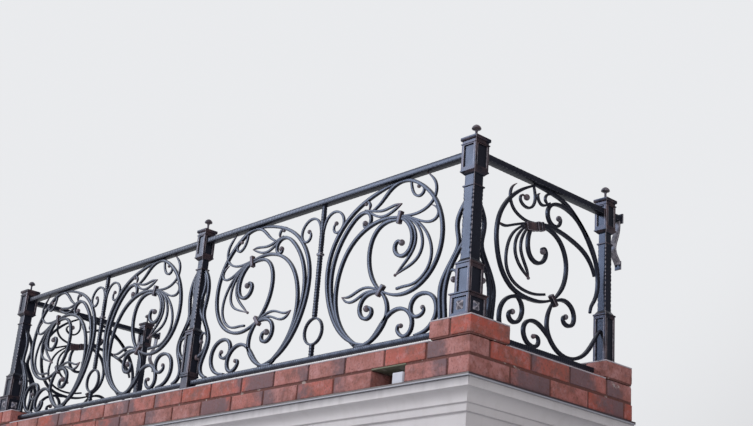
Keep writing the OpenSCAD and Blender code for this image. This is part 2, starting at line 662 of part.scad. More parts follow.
bottom_rail_front(-1);  // bottom_rail_front_left
bottom_rail_front(1);  // bottom_rail_front_right
bottom_rail_side(-1);  // bottom_rail_side_left
bottom_rail_side(1);  // bottom_rail_side_right
mullion(-1);  // mullion_left
mullion(1);  // mullion_right
scroll_panel(1);  // scroll_panel_1
scroll_panel(2);  // scroll_panel_2
scroll_panel(3);  // scroll_panel_3
scroll_panel(4);  // scroll_panel_4
scroll_panel_side(-1);  // scroll_panel_side_left
scroll_panel_side(1);  // scroll_panel_side_right
post_scroll_corner(-1);  // post_scroll_corner_left
post_scroll_corner(1);  // post_scroll_corner_right
post_scroll_centre();
post_scroll_side(-1);  // post_scroll_side_left
post_scroll_side(1);  // post_scroll_side_right
wall_scroll(-1);  // wall_scroll_left
wall_scroll(1);  // wall_scroll_right
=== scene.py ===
"""Wrought iron balcony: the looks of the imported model, piece by piece, from the base up."""

import bmesh
import bpy
import numpy as np
from mathutils import Matrix, Vector
from mathutils.geometry import tessellate_polygon


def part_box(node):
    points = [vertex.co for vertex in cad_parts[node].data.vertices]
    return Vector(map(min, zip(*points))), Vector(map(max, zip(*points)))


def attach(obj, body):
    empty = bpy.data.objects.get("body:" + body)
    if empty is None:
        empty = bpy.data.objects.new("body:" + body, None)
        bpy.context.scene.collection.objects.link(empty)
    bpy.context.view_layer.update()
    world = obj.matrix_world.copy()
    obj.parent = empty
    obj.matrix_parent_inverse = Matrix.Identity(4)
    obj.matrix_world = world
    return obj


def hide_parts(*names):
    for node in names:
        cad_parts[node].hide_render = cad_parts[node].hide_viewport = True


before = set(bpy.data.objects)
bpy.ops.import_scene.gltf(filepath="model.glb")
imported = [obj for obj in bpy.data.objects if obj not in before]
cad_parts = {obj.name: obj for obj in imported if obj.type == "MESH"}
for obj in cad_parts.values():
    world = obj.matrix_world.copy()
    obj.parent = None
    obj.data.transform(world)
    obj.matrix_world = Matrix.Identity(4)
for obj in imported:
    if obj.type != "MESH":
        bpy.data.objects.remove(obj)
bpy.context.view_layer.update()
scene = bpy.context.scene
scene.view_settings.view_transform = "Standard"

# The view: from the street, below the balcony and off its right corner, with a long lens.
# The columns of the turn are the picture's right, its top and the way back to the eye.
camera = bpy.data.objects.new("street_view", bpy.data.cameras.new("street_view"))
scene.collection.objects.link(camera)
camera.data.lens = 59.9
camera.data.sensor_width = 36
right, down, ahead = (0.67782, 0.73157, 0.07328), (-0.20999, 0.28814, -0.93428), (-0.70460, 0.61789, 0.34893)
turn = Matrix((right, [-v for v in down], [-v for v in ahead])).transposed()
camera.matrix_world = Matrix.Translation((5.401, -3.997, -0.8045)) @ turn.to_4x4()
scene.camera = camera


# The studio: a room that is pale overhead and to the left and greyer to the right, a wide soft lamp
# on the street side, a weaker one off the right side, and a pale floor. The floor is seen from
# above only, because the eye is lower than the underside of the base.
def added(tree, kind, settings=(), **inputs):
    """A new node. An input goes by its name, or by an underscore and its number, and takes a value
    or the output of another node."""
    made = tree.nodes.new(kind)
    for name, value in dict(settings).items():
        setattr(made, name, value)
    for name, value in inputs.items():
        socket = made.inputs[int(name[1:])] if name[1:].isdigit() else made.inputs[name.replace("_", " ")]
        if isinstance(value, bpy.types.NodeSocket):
            tree.links.new(value, socket)
        else:
            socket.default_value = value
    return made


def ramp(tree, value, start, end, low=0.0, high=1.0, **settings):
    """A value that is low up to the start, high from the end on and in proportion between them."""
    made = added(tree, "ShaderNodeMapRange", settings, Value=value, _1=start, _2=end, _3=low, _4=high)
    return made.outputs[0]


def tinted(tree, share, first, second):
    """The first colour, turned into the second by the share."""
    return added(tree, "ShaderNodeMix", {"data_type": "RGBA"}, Factor=share, _6=first, _7=second).outputs[2]


def reckoned(tree, operation, *values, **settings):
    """The result of an operation on values."""
    numbered = {f"_{k}": value for k, value in enumerate(values)}
    return added(tree, "ShaderNodeMath", dict(settings, operation=operation), **numbered).outputs[0]


world = bpy.data.worlds.new("studio_room")
scene.world = world
world.use_nodes = True
tree = world.node_tree
tree.nodes.clear()
look = added(tree, "ShaderNodeTexCoord").outputs["Generated"]
slant = added(tree, "ShaderNodeVectorMath", {"operation": "DOT_PRODUCT"}, _0=look, _1=(-0.66, 0.0, 0.75))
share = ramp(tree, slant.outputs["Value"], 0.1, 0.6, interpolation_type="SMOOTHSTEP")
room = tinted(tree, share, (0.20, 0.19, 0.20, 1), (0.82, 0.83, 0.85, 1))
glow = added(tree, "ShaderNodeBackground", Color=room, Strength=1.0)
added(tree, "ShaderNodeOutputWorld", Surface=glow.outputs[0])

for name, way, energy, angle, tint in (("street_lamp", (-0.66, -0.66, 0.36), 1.65, 0.35, (1.0, 1.0, 1.0)),
                                       ("side_lamp", (0.80, -0.58, 0.12), 1.4, 0.9, (1.0, 0.96, 0.92))):
    lamp = bpy.data.objects.new(name, bpy.data.lights.new(name, "SUN"))
    lamp.data.energy = energy
    lamp.data.color = tint
    lamp.data.angle = angle
    lamp.rotation_mode = "QUATERNION"
    lamp.rotation_quaternion = Vector(way).to_track_quat("Z", "Y")
    scene.collection.objects.link(lamp)

reach, drop = 24.0, -0.0005
sheet = bpy.data.meshes.new("pale_floor")
corners = [(a * reach, b * reach, drop) for a, b in ((-1, -1), (1, -1), (1, 1), (-1, 1))]
sheet.from_pydata(corners, [], [(0, 1, 2, 3)])
floor = bpy.data.objects.new("pale_floor", sheet)
scene.collection.objects.link(floor)
paint = bpy.data.materials.new("pale_floor")
paint.use_nodes = True
tree = paint.node_tree
tree.nodes.clear()
path = added(tree, "ShaderNodeLightPath")
under = added(tree, "ShaderNodeNewGeometry")
away = reckoned(tree, "MULTIPLY", path.outputs["Is Camera Ray"], under.outputs["Backfacing"])
pale = added(tree, "ShaderNodeBsdfDiffuse", Color=(0.62, 0.62, 0.61, 1))
clear = added(tree, "ShaderNodeBsdfTransparent")
seen = added(tree, "ShaderNodeMixShader", _0=away, _1=pale.outputs[0], _2=clear.outputs[0])
added(tree, "ShaderNodeOutputMaterial", Surface=seen.outputs[0])
sheet.materials.append(paint)


# Stone base: three lengths of moulded stone, mitred at the corners and painted with smooth
# off-white render. The fascia is at the top, with a hollow, a thin step and a band under it.
# It is set out from the brick faces at the right and at the front.
slab_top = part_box("floor_slab")[1][2]
x_face, y_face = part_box("curb_front_upper")[1][0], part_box("curb_front_upper")[0][1]
wall_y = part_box("cornice_right")[1][1]


def surface(rows, cols, closed=False):
    """Quads of a grid of points laid row after row; closed joins the last column to the first."""
    i = np.arange(rows - 1)[:, None]
    j = np.arange(cols if closed else cols - 1)[None]
    a, b = i * cols + j, i * cols + (j + 1) % cols
    return np.stack([a, b, b + cols, a + cols], -1).reshape(-1, 4)


def joined(shapes):
    """Shapes put one after another: points, quads, triangles and the two finish values of each point."""
    firsts = np.cumsum([0] + [len(s[0]) for s in shapes[:-1]])
    return (np.vstack([s[0] for s in shapes]),
            np.vstack([s[1] + f for s, f in zip(shapes, firsts)]),
            np.vstack([s[2] + f for s, f in zip(shapes, firsts)]),
            np.vstack([s[3] for s in shapes]))


def piece(name, shape, material, nodes, values=("rub_and_highlight", "patina"), crease=50, weld=0):
    """A finished object from a shape. Its faces are turned outwards and its sharp edges marked."""
    points, quads, tris, marks = shape
    mesh = bpy.data.meshes.new(name)
    corners = np.concatenate([quads.ravel(), tris.ravel()]).astype("i4")
    starts = np.concatenate([np.arange(len(quads)) * 4, len(quads) * 4 + np.arange(len(tris)) * 3])
    mesh.vertices.add(len(points))
    mesh.vertices.foreach_set("co", points.astype("f4").ravel())
    mesh.loops.add(len(corners))
    mesh.loops.foreach_set("vertex_index", corners)
    mesh.polygons.add(len(starts))
    mesh.polygons.foreach_set("loop_start", starts.astype("i4"))
    mesh.update(calc_edges=True)
    for k, value in enumerate(values):
        mesh.attributes.new(value, "FLOAT", "POINT").data.foreach_set("value", marks[:, k].astype("f4"))
    solid = bmesh.new()
    solid.from_mesh(mesh)
    if weld:
        bmesh.ops.remove_doubles(solid, verts=solid.verts, dist=weld)
    bmesh.ops.recalc_face_normals(solid, faces=solid.faces)
    solid.to_mesh(mesh)
    solid.free()
    mesh.shade_smooth()
    mesh.set_sharp_from_angle(angle=np.radians(crease))
    mesh.materials.append(material)
    made = bpy.data.objects.new(name, mesh)
    scene.collection.objects.link(made)
    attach(made, "root")
    if nodes:
        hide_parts(*nodes)


def eased(outline, radius):
    """A closed outline whose corners are rounded: each becomes a short curve that starts and ends
    radius away from it, and whose middle lies half way between the corner and its chord."""
    before, after = np.roll(outline, 1, 0) - outline, np.roll(outline, -1, 0) - outline
    long_before, long_after = (np.linalg.norm(v, axis=1, keepdims=True) for v in (before, after))
    start = outline + before / long_before * np.minimum(radius, long_before / 3)
    end = outline + after / long_after * np.minimum(radius, long_after / 3)
    return np.stack([start, start / 4 + outline / 2 + end / 4, end], 1).reshape(-1, 2)


def run_round(outline):
    """A closed outline (out from the brick face, height) carried along the left side from the back,
    along the front, and back along the right side. A corner point is moved out both ways, which
    makes the mitre."""
    out, height = outline[:, 0], outline[:, 1]
    share = np.linspace(0, 1, 6)
    t = np.concatenate([share, 1 + np.linspace(0, 1, 18)[1:], 2 + share[1:]])[:, None]
    x_out, y_out = x_face + out[None], y_face - out[None]
    x = np.clip(2 * (t - 1.5), -1, 1) * x_out
    y = np.where(t > 2, y_out + (t - 2) * (wall_y - y_out), y_out)
    y = np.where(t < 1, wall_y + t * (y_out - wall_y), y)
    points = np.stack([x, y, np.ones_like(t) * height], -1).reshape(-1, 3)
    flat = np.array(tessellate_polygon([[Vector((a, b, 0)) for a, b in outline]]))
    caps = np.vstack([flat, flat[:, ::-1] + len(points) - len(outline)])
    return points, surface(len(t), len(outline), True), caps, np.zeros((len(points), 2))


def noise(tree, place, scale, detail, **more):
    """A cloudy value that differs from place to place; a larger scale makes the clouds smaller."""
    return added(tree, "ShaderNodeTexNoise", Vector=place, Scale=scale, Detail=detail, **more).outputs[0]


def blank(name):
    """A new material, its nodes, its shader and the place of a point on the part."""
    made = bpy.data.materials.new(name)
    made.use_nodes = True
    tree = made.node_tree
    return made, tree, tree.nodes["Principled BSDF"], added(tree, "ShaderNodeTexCoord").outputs["Object"]


def dress(tree, skin, colour, height, strength, distance):
    """Gives a shader its colour and, from a height, its fine relief."""
    bump = added(tree, "ShaderNodeBump", Strength=strength, Distance=distance, Height=height)
    tree.links.new(colour, skin.inputs["Base Color"])
    tree.links.new(bump.outputs[0], skin.inputs["Normal"])


def render_coat():
    """Off-white masonry paint on smooth render: cloudy tone, faint streaks down, a fine sandy grain,
    and painted shade under the flashing lip on the top of the fascia, ragged along the streaks,
    strong on the front face and weak on the sides."""
    coat, tree, skin, spot = blank("render_coat")
    drawn = added(tree, "ShaderNodeMapping", Vector=spot, Scale=(26.0, 26.0, 1.4)).outputs[0]
    streak = noise(tree, drawn, 1.0, 3.0)
    tone = tinted(tree, noise(tree, spot, 5.0, 4.0), (0.54, 0.525, 0.56, 1), (0.63, 0.615, 0.65, 1))
    streaky = tinted(tree, ramp(tree, streak, 0.52, 0.80, 0.0, 0.2), tone, (0.40, 0.385, 0.385, 1))
    level = added(tree, "ShaderNodeSeparateXYZ", Vector=spot)
    # Painted shade under the flashing lip: the top of the fascia is darkened, most on the front face.
    streaked_height = reckoned(tree, "MULTIPLY_ADD", streak, 0.016, level.outputs[2])
    lip_shade_strength = ramp(tree, level.outputs[1], y_face - 0.008, y_face + 0.002, 0.9, 0.3)
    lip_shade = ramp(tree, streaked_height, slab_top - 0.040, slab_top - 0.004, 0.0, lip_shade_strength)
    coat_with_lip_shade = tinted(tree, lip_shade, streaky, (0.17, 0.165, 0.19, 1))
    dress(tree, skin, coat_with_lip_shade, noise(tree, spot, 420.0, 2.0), 0.25, 0.0006)
    skin.inputs["Roughness"].default_value = 0.78
    return coat


# The profile of the base: fascia, hollow, thin step, band, second step, and a foot that stands out
fascia_out, hollow_w, hollow_h, band_h, step = 0.010, 0.045, 0.051, 0.033, 0.014
fascia_foot = slab_top - 0.050
hollow_foot = fascia_foot - hollow_h
behind = -0.150
a = np.radians(np.linspace(90, 0, 13))
hollow = np.stack([fascia_out - 0.003 - hollow_w * np.cos(a), fascia_foot - hollow_h * (1 - np.sin(a))], 1)
moulding = np.vstack([
    [[fascia_out, slab_top - 0.003], [fascia_out, fascia_foot]], hollow,
    [[fascia_out - hollow_w - step, hollow_foot], [fascia_out - hollow_w - step, hollow_foot - band_h],
     [fascia_out - hollow_w - 2 * step, hollow_foot - band_h], [fascia_out - hollow_w - 2 * step, 0.036],
     [fascia_out - hollow_w - step, 0.030], [fascia_out - hollow_w - step, 0.0], [behind, 0.0],
     [behind, slab_top - 0.003]]])
piece("stone_base", run_round(eased(moulding, 0.0025)), render_coat(),
      ["cornice_front", "cornice_left", "cornice_right"], crease=32)

# Floor slab: reinforced concrete under a cement screed. It was trowelled by hand, and the damp on
# it has dried in paler patches.
screed, tree, skin, spot = blank("screed")
patches = noise(tree, spot, 3.2, 6.0, Roughness=0.62)
tone = tinted(tree, patches, (0.30, 0.29, 0.27, 1), (0.55, 0.53, 0.50, 1))
dress(tree, skin, tone, noise(tree, spot, 160.0, 3.0), 0.5, 0.001)
skin.inputs["Roughness"].default_value = 0.88
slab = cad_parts["floor_slab"]
slab.data.materials.clear()
slab.data.materials.append(screed)

# Flashing: grey coated sheet that lies under the bricks and turns down over the fascia. It is
# folded at the bench and laid in lengths. The top of its turn-down, right under the bricks, is
# painted dark as the shadow there.
flash_low, flash_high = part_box("flashing")
lip_out, lip_foot, sheet_t = flash_high[0] - x_face, flash_low[2], 0.0028
profile = np.array([[lip_out, slab_top], [lip_out, lip_foot + 0.002], [lip_out - 0.001, lip_foot],
                    [lip_out - 0.004, lip_foot], [lip_out - 0.004, lip_foot + 0.004],
                    [lip_out - 0.0025, slab_top - sheet_t], [behind, slab_top - sheet_t], [behind, slab_top]])
coated, tree, skin, spot = blank("coated_sheet")
dull = noise(tree, spot, 14.0, 5.0)
tone = tinted(tree, dull, (0.29, 0.30, 0.36, 1), (0.42, 0.43, 0.50, 1))
level = added(tree, "ShaderNodeSeparateXYZ", Vector=spot).outputs[2]
# Painted shadow: the top of the turn-down, under the bricks, is dark.
fold_shadow = ramp(tree, level, slab_top - 0.009, slab_top - 0.006)
tree.links.new(tinted(tree, fold_shadow, tone, (0.050, 0.034, 0.042, 1)), skin.inputs["Base Color"])
tree.links.new(ramp(tree, dull, 0.0, 1.0, 0.35, 0.6), skin.inputs["Roughness"])
skin.inputs["Specular IOR Level"].default_value = 0.3
piece("sheet_flashing", run_round(eased(profile, 0.0006)), coated, ["flashing"], crease=32)

# Brick curb: two courses of facing brick in two skins, and a raised block of one course under
# each corner post and end post. The bricks are wire-cut and fired, red with burnt purple ends.
brick_l, brick_w, brick_h, joint = 0.240, 0.115, 0.071, 0.0115
curb_low, curb_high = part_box("curb_front_upper")
course, curb_t = curb_high[2] - curb_low[2], curb_high[1] - curb_low[1]
gap_right, gap_left = x_face - 0.368, x_face - 0.573
chance = np.random.default_rng(20841)


def laid(start, lengths):
    """Bricks laid end to end: each begins one joint after the end of the one before."""
    lengths = np.array(lengths)
    ends = start + np.cumsum(lengths) + joint * np.arange(len(lengths))
    return np.stack([ends - lengths, ends], 1)


def in_place(runs, across, bottom, along_x=True, back=False):
    """Low and high corners of the bricks of a run; back lays the run towards the lower numbers."""
    runs = np.sort(-runs, 1) if back else runs
    low, high = np.zeros((len(runs), 3)), np.zeros((len(runs), 3))
    run, side = (0, 1) if along_x else (1, 0)
    low[:, run], high[:, run] = runs[:, 0], runs[:, 1]
    low[:, side], high[:, side] = across
    low[:, 2], high[:, 2] = bottom + joint / 2, bottom + joint / 2 + brick_h
    return low, high


def soft_boxes(low, high, radius, inner, wear=0.0):
    """Boxes with rounded edges. Each point q of the plain box is drawn back to the nearest point c
    of the inner box and set out again by the radius: p = c + r (q - c) / |q - c|."""
    half, centre = (high - low) / 2, (high + low) / 2
    core = half - radius
    ends = radius * np.array([0, 0.586, 1.0])
    span = np.linspace(-1, 1, inner + 2)[1:-1]
    lines = [np.hstack([-half[:, [a]] + ends, span * core[:, [a]], half[:, [a]] - ends[::-1]])
             for a in range(3)]
    n = inner + 6
    sides = []
    for axis in range(3):
        u, v = (axis + 1) % 3, (axis + 2) % 3
        for sign in (-1, 1):
            q = np.zeros((len(low), n, n, 3))
            q[..., axis] = sign * half[:, None, None, axis]
            q[..., u] = lines[u][:, :, None]
            q[..., v] = lines[v][:, None, :]
            sides.append(q)
    q = np.stack(sides, 1)
    c = np.clip(q, -core[:, None, None, None], core[:, None, None, None])
    gap = q - c
    p = c + radius * gap / np.linalg.norm(gap, axis=-1, keepdims=True)
    if wear:
        phase = chance.uniform(0, 6, (len(low), 1, 1, 1, 3))
        swell = np.sin(p * 55 + phase) * np.sin(np.roll(p, 1, -1) * 83 + phase) * wear
        p = p - np.sign(p) * np.abs(swell) * (np.abs(p) > core[:, None, None, None] * 0.9)
    points = (p + centre[:, None, None, None]).reshape(-1, 3)
    quads = (surface(n, n)[None] + (np.arange(len(low) * 6) * n * n)[:, None, None]).reshape(-1, 4)
    # On iron the edge mark makes the rounded edges pale: wear and a painted highlight.
    edge = np.clip((np.abs(gap) > radius * 0.3).sum(-1) - 1, 0, 1).reshape(-1)
    return points, quads, np.zeros((0, 3), int), np.stack([edge, np.zeros(len(edge))], 1)


def fired(low, high):
    """Brick shapes with two marks: how burnt a point is, from a soft front that crosses the brick at
    a place of its own, and the tone of the brick."""
    points, quads, tris, marks = soft_boxes(low, high, 0.0032, inner=5, wear=0.0011)
    each = len(points) // len(low)
    row, long_axis = np.arange(len(low)), np.argmax(high - low, 1)
    place = points.reshape(len(low), each, 3)
    length = (high - low)[row, long_axis][:, None]
    t = (place[row, :, long_axis] - low[row, long_axis][:, None]) / length
    t = np.where(chance.random(len(low))[:, None] < 0.5, t, 1 - t)
    front = chance.choice([-0.5, 0.12, 0.3, 0.55, 0.85], len(low), p=[0.44, 0.19, 0.16, 0.11, 0.10])[:, None]
    burnt = 1 / (1 + np.exp((t - front) * 7))
    tone = np.repeat(chance.random(len(low)), each)
    return points, quads, tris, np.stack([burnt.ravel(), tone], 1)


low_z, high_z, block_z = slab_top, slab_top + course, slab_top + 2 * course
outer_skin, inner_skin = (y_face, y_face + brick_w), (y_face + curb_t - brick_w, y_face + curb_t)
past_corner = -x_face + brick_w + joint
runs = [(laid(-x_face, [brick_l] * 15 + [0.213, brick_w]), outer_skin, high_z),
        (laid(past_corner, [brick_l]), outer_skin, low_z),
        (laid(-gap_left, [brick_l] * 13 + [0.143]), outer_skin, low_z),
        (laid(past_corner, [0.1135] + [brick_l] * 14 + [0.1135]), inner_skin, high_z),
        (laid(past_corner, [brick_l]), inner_skin, low_z),
        (laid(-gap_left, [0.113] + [brick_l] * 12 + [0.122]), inner_skin, low_z)]
parts = [in_place(*run, back=True) for run in runs]
for s in (-1, 1):
    outer_skin = sorted((s * x_face, s * (x_face - brick_w)))
    inner_skin = sorted((s * (x_face - curb_t), s * (x_face - curb_t + brick_w)))
    runs = [(laid(y_face, [brick_l]), outer_skin, low_z),
            (laid(y_face + brick_w + joint, [brick_l] * 3 + [0.1715]), outer_skin, high_z),
            (laid(y_face + brick_l + joint, [brick_l] * 3 + [0.054]), outer_skin, low_z),
            (laid(y_face + curb_t + joint, [0.113] + [brick_l] * 2 + [0.181]), inner_skin, high_z),
            (laid(y_face + curb_t + joint, [brick_l] * 3 + [0.054]), inner_skin, low_z)]
    parts += [in_place(*run, along_x=False) for run in runs]
low, high = (np.vstack([p[k] for p in parts]) for k in (0, 1))


def brick_skin():
    """Fired clay: red body to burnt purple, clouded and speckled with pink and dark grains, with
    paler dust on the faces and a few smears of white mortar."""
    fired_clay, tree, skin, spot = blank("facing_brick")
    burnt = added(tree, "ShaderNodeAttribute", {"attribute_name": "burnt"}).outputs["Fac"]
    tone = added(tree, "ShaderNodeAttribute", {"attribute_name": "tone"}).outputs["Fac"]
    cloud = noise(tree, spot, 12.0, 7.0, Roughness=0.68)
    bloom = noise(tree, spot, 31.0, 4.0, Roughness=0.6, Lacunarity=2.6)
    speck = noise(tree, spot, 90.0, 4.0)
    lime = noise(tree, spot, 13.0, 5.0, Roughness=0.7)
    colour = tinted(tree, tone, (0.40, 0.080, 0.058, 1), (0.41, 0.20, 0.20, 1))
    colour = tinted(tree, ramp(tree, cloud, 0.38, 0.62), colour, (0.25, 0.085, 0.068, 1))
    colour = tinted(tree, ramp(tree, bloom, 0.50, 0.74, 0.0, 0.5), colour, (0.45, 0.26, 0.28, 1))
    frayed = reckoned(tree, "MULTIPLY_ADD", cloud, 2.2, -1.1)
    shifted = reckoned(tree, "ADD", burnt, frayed, use_clamp=True)
    dark = ramp(tree, shifted, 0.03, 0.75, 0.0, 0.8, interpolation_type="SMOOTHSTEP")
    colour = tinted(tree, dark, colour, (0.120, 0.088, 0.110, 1))
    colour = tinted(tree, ramp(tree, speck, 0.54, 0.70, 0.0, 0.75), colour, (0.15, 0.060, 0.052, 1))
    colour = tinted(tree, ramp(tree, lime, 0.67, 0.76, 0.0, 0.7), colour, (0.50, 0.44, 0.44, 1))
    dress(tree, skin, colour, reckoned(tree, "ADD", cloud, speck), 0.7, 0.002)
    skin.inputs["Roughness"].default_value = 0.86
    return fired_clay


clay = brick_skin()
piece("curb_bricks", fired(low, high), clay,
      ["curb_front_upper", "curb_front_lower", "curb_left", "curb_right"], ("burnt", "tone"), weld=1e-5)

parts = []
for side in ("left", "right"):
    corner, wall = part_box("corner_block_" + side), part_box("wall_block_" + side)
    width = (corner[1][0] - corner[0][0] - joint) / 2
    for k in (0, 1):
        for (low, high), wide, between in ((corner, width, joint), (wall, brick_w, 0.010)):
            x = low[0] + k * (wide + between)
            parts.append(in_place(np.array([[low[1], high[1]]]), (x, x + wide), block_z, along_x=False))
low, high = (np.vstack([p[k] for p in parts]) for k in (0, 1))
blocks = ["corner_block_left", "corner_block_right", "wall_block_left", "wall_block_right"]
piece("raised_block_bricks", fired(low, high), clay, blocks, ("burnt", "tone"), weld=1e-5)

# Mortar: dark brown bed and joints, raked back from the faces, with pale lumps where it was spilt.
# One bed fills each course behind the faces of the bricks, and a thin pale cap closes the top. Over
# the drain gap the bed shows from below, green with damp.
rake, lip, cap = 0.006, 0.001, joint / 2
near, far = y_face + rake, y_face + curb_t - rake
beds = [((rake - x_face, near, low_z), (gap_left - 0.004, far, high_z)),
        ((gap_right + 0.004, near, low_z), (x_face - rake, far, high_z)),
        ((rake - x_face, near, high_z), (x_face - rake, far, block_z - joint))]
corner_low, corner_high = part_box("corner_block_right")
caps = [((-corner_low[0], y_face + lip, block_z - cap),
         (corner_low[0], y_face + curb_t - lip, block_z - 0.0002))]
for s in (-1, 1):
    a, b = sorted((s * (x_face - rake), s * (x_face - curb_t + rake)))
    beds += [((a, far, low_z), (b, wall_y, high_z)), ((a, far, high_z), (b, wall_y, block_z - joint))]
    a, b = sorted((s * (x_face - lip), s * (x_face - curb_t + lip)))
    caps.append(((a, corner_high[1], block_z - cap), (b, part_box("wall_block_right")[0][1], block_z - 0.0002)))
for name in blocks:
    a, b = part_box(name)
    free = "wall" not in name
    beds.append(((a[0] + rake, a[1] + rake, a[2] - 0.001), (b[0] - rake, b[1] - rake * free, b[2] - joint)))
    caps.append(((a[0] + lip, a[1] + lip, b[2] - cap), (b[0] - lip, b[1] - lip * free, b[2])))
ceiling = [((gap_left - 0.003, y_face + 0.003, high_z - 0.0015), (gap_right + 0.003, far, high_z + 0.005))]


def mortar_mix(name, dark, light, spilt):
    """Sand and binder in two close tones, with lumps of the spilt tone where a broad noise is high."""
    mix, tree, skin, spot = blank(name)
    sand = noise(tree, spot, 120.0, 4.0)
    lumps = ramp(tree, noise(tree, spot, 17.0, 3.0), 0.62, 0.70, 0.0, 0.85)
    dress(tree, skin, tinted(tree, lumps, tinted(tree, sand, dark, light), spilt), sand, 0.8, 0.002)
    skin.inputs["Roughness"].default_value = 0.92
    return mix


brown = mortar_mix("brown_mortar", (0.095, 0.037, 0.033, 1), (0.19, 0.080, 0.072, 1), (0.42, 0.36, 0.35, 1))
lime = mortar_mix("lime_cap", (0.36, 0.33, 0.38, 1), (0.52, 0.48, 0.54, 1), (0.20, 0.17, 0.20, 1))
damp = mortar_mix("damp_mortar", (0.12, 0.125, 0.092, 1), (0.20, 0.205, 0.155, 1), (0.30, 0.29, 0.25, 1))
mixes = (("mortar_beds", brown, beds), ("mortar_caps", lime, caps), ("gap_ceiling", damp, ceiling))
for name, mix, boxes in mixes:
    boxes = np.array(boxes)
    piece(name, soft_boxes(boxes[:, 0], boxes[:, 1], 0.0015, inner=2), mix, [], weld=1e-5)

# White block: a piece of foam board pushed into the drain gap against the bricks on its right, cut
# with a knife and a little soiled.
foam, tree, skin, spot = blank("white_foam")
grime = tinted(tree, noise(tree, spot, 38.0, 5.0), (0.60, 0.63, 0.74, 1), (0.46, 0.47, 0.54, 1))
beads = added(tree, "ShaderNodeTexVoronoi", Vector=spot, Scale=260.0)
dress(tree, skin, grime, beads.outputs[0], 0.4, 0.0008)
skin.inputs["Roughness"].default_value = 0.8
low, high = (np.array(v)[None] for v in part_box("gap_filler"))
piece("white_block", soft_boxes(low, high, 0.0025, inner=5, wear=0.0006), foam, ["gap_filler"],
      weld=1e-5)


# Posts: square hollow bar with welded boxes, whose sheet panels are sunk in a frame. The edges of
# the shaft are hammered at an even pitch, and a flat-bottomed knob closes the roofed cap. A corner
# post is 60 mm bar with 84 mm boxes, and the others are 46 mm bar with 70 mm boxes.
def turned(profile, centre, axis, sides):
    """A profile of (distance out, place along the axis) turned once round the axis."""
    a = np.linspace(0, 2 * np.pi, sides, endpoint=False)
    u, v = (axis + 1) % 3, (axis + 2) % 3
    points = np.zeros((len(profile), sides, 3))
    points[..., axis] = profile[:, 1][:, None]
    points[..., u] = profile[:, 0][:, None] * np.cos(a)
    points[..., v] = profile[:, 0][:, None] * np.sin(a)
    points = points.reshape(-1, 3) + centre
    return points, surface(len(profile), sides, True), np.zeros((0, 3), int), np.zeros((len(points), 2))


def lids(rows, cols):
    """Triangles that close the first and the last ring of a run of rings."""
    fan = np.arange(1, cols - 1)
    lid = np.stack([np.zeros_like(fan), fan + 1, fan], 1)
    return np.vstack([lid, lid[:, ::-1] + (rows - 1) * cols])


def forged_iron():
    """Blackened iron under clear wax: blue-grey sheen, a skin of shallow hammer marks, edges pale
    where the first mark says so, partly wear from the brush and partly a painted highlight, and a thin
    copper patina where the marks say so."""
    iron, tree, skin, spot = blank("forged_iron")
    rub_and_highlight = added(tree, "ShaderNodeAttribute", {"attribute_name": "rub_and_highlight"}).outputs["Fac"]
    patina = added(tree, "ShaderNodeAttribute", {"attribute_name": "patina"}).outputs["Fac"]
    cloud = noise(tree, spot, 16.0, 5.0, Roughness=0.6)
    patchy = ramp(tree, noise(tree, spot, 70.0, 2.0), 0.3, 0.7, 0.6, 1.0)
    # The pale of the edges: partly wear, partly a painted highlight on edges, crests and ball ends.
    wear = ramp(tree, reckoned(tree, "MULTIPLY", rub_and_highlight, patchy), 0.25, 0.9, 0.0, 0.85)
    copper = ramp(tree, reckoned(tree, "MULTIPLY", patina, cloud), 0.22, 0.66, 0.0, 0.75)
    colour = tinted(tree, cloud, (0.007, 0.007, 0.010, 1), (0.019, 0.020, 0.028, 1))
    colour = tinted(tree, wear, colour, (0.52, 0.49, 0.56, 1))
    colour = tinted(tree, copper, colour, (0.22, 0.125, 0.115, 1))
    marks = added(tree, "ShaderNodeTexVoronoi", {"feature": "SMOOTH_F1"}, Vector=spot, Scale=45.0)
    dress(tree, skin, colour, marks.outputs[0], 0.12, 0.001)
    tree.links.new(ramp(tree, cloud, 0.0, 1.0, 0.28, 0.42), skin.inputs["Roughness"])
    skin.inputs["Specular IOR Level"].default_value = 0.33
    skin.inputs["Specular Tint"].default_value = (0.36, 0.54, 1.0, 1)
    return iron


iron = forged_iron()


def smithed(name, shape, nodes, crease=50, weld=0):
    """A piece of the blackened iron."""
    piece(name, shape, iron, nodes, crease=crease, weld=weld)


# Over one face of a post, from edge to edge: where its lines of points stand in shares of the half
# width, how far they keep from the edge, their least share, and whether they lie in the sunk panel
frame_w, sunk, dent, pitch = 0.013, 0.007, 0.003, 0.020
shares = np.array([-1, -1, -0.93, -0.45, 0, 0.45, 0.93, 1, 1])
inset = np.array([0.006] + [frame_w] * 7 + [0.006])
least = np.array([0.75] + [0.5] * 7 + [0.75])
inside = np.array([0, 0, 1, 1, 1, 1, 1, 0, 0])
bend = np.radians([0, 45, 90])


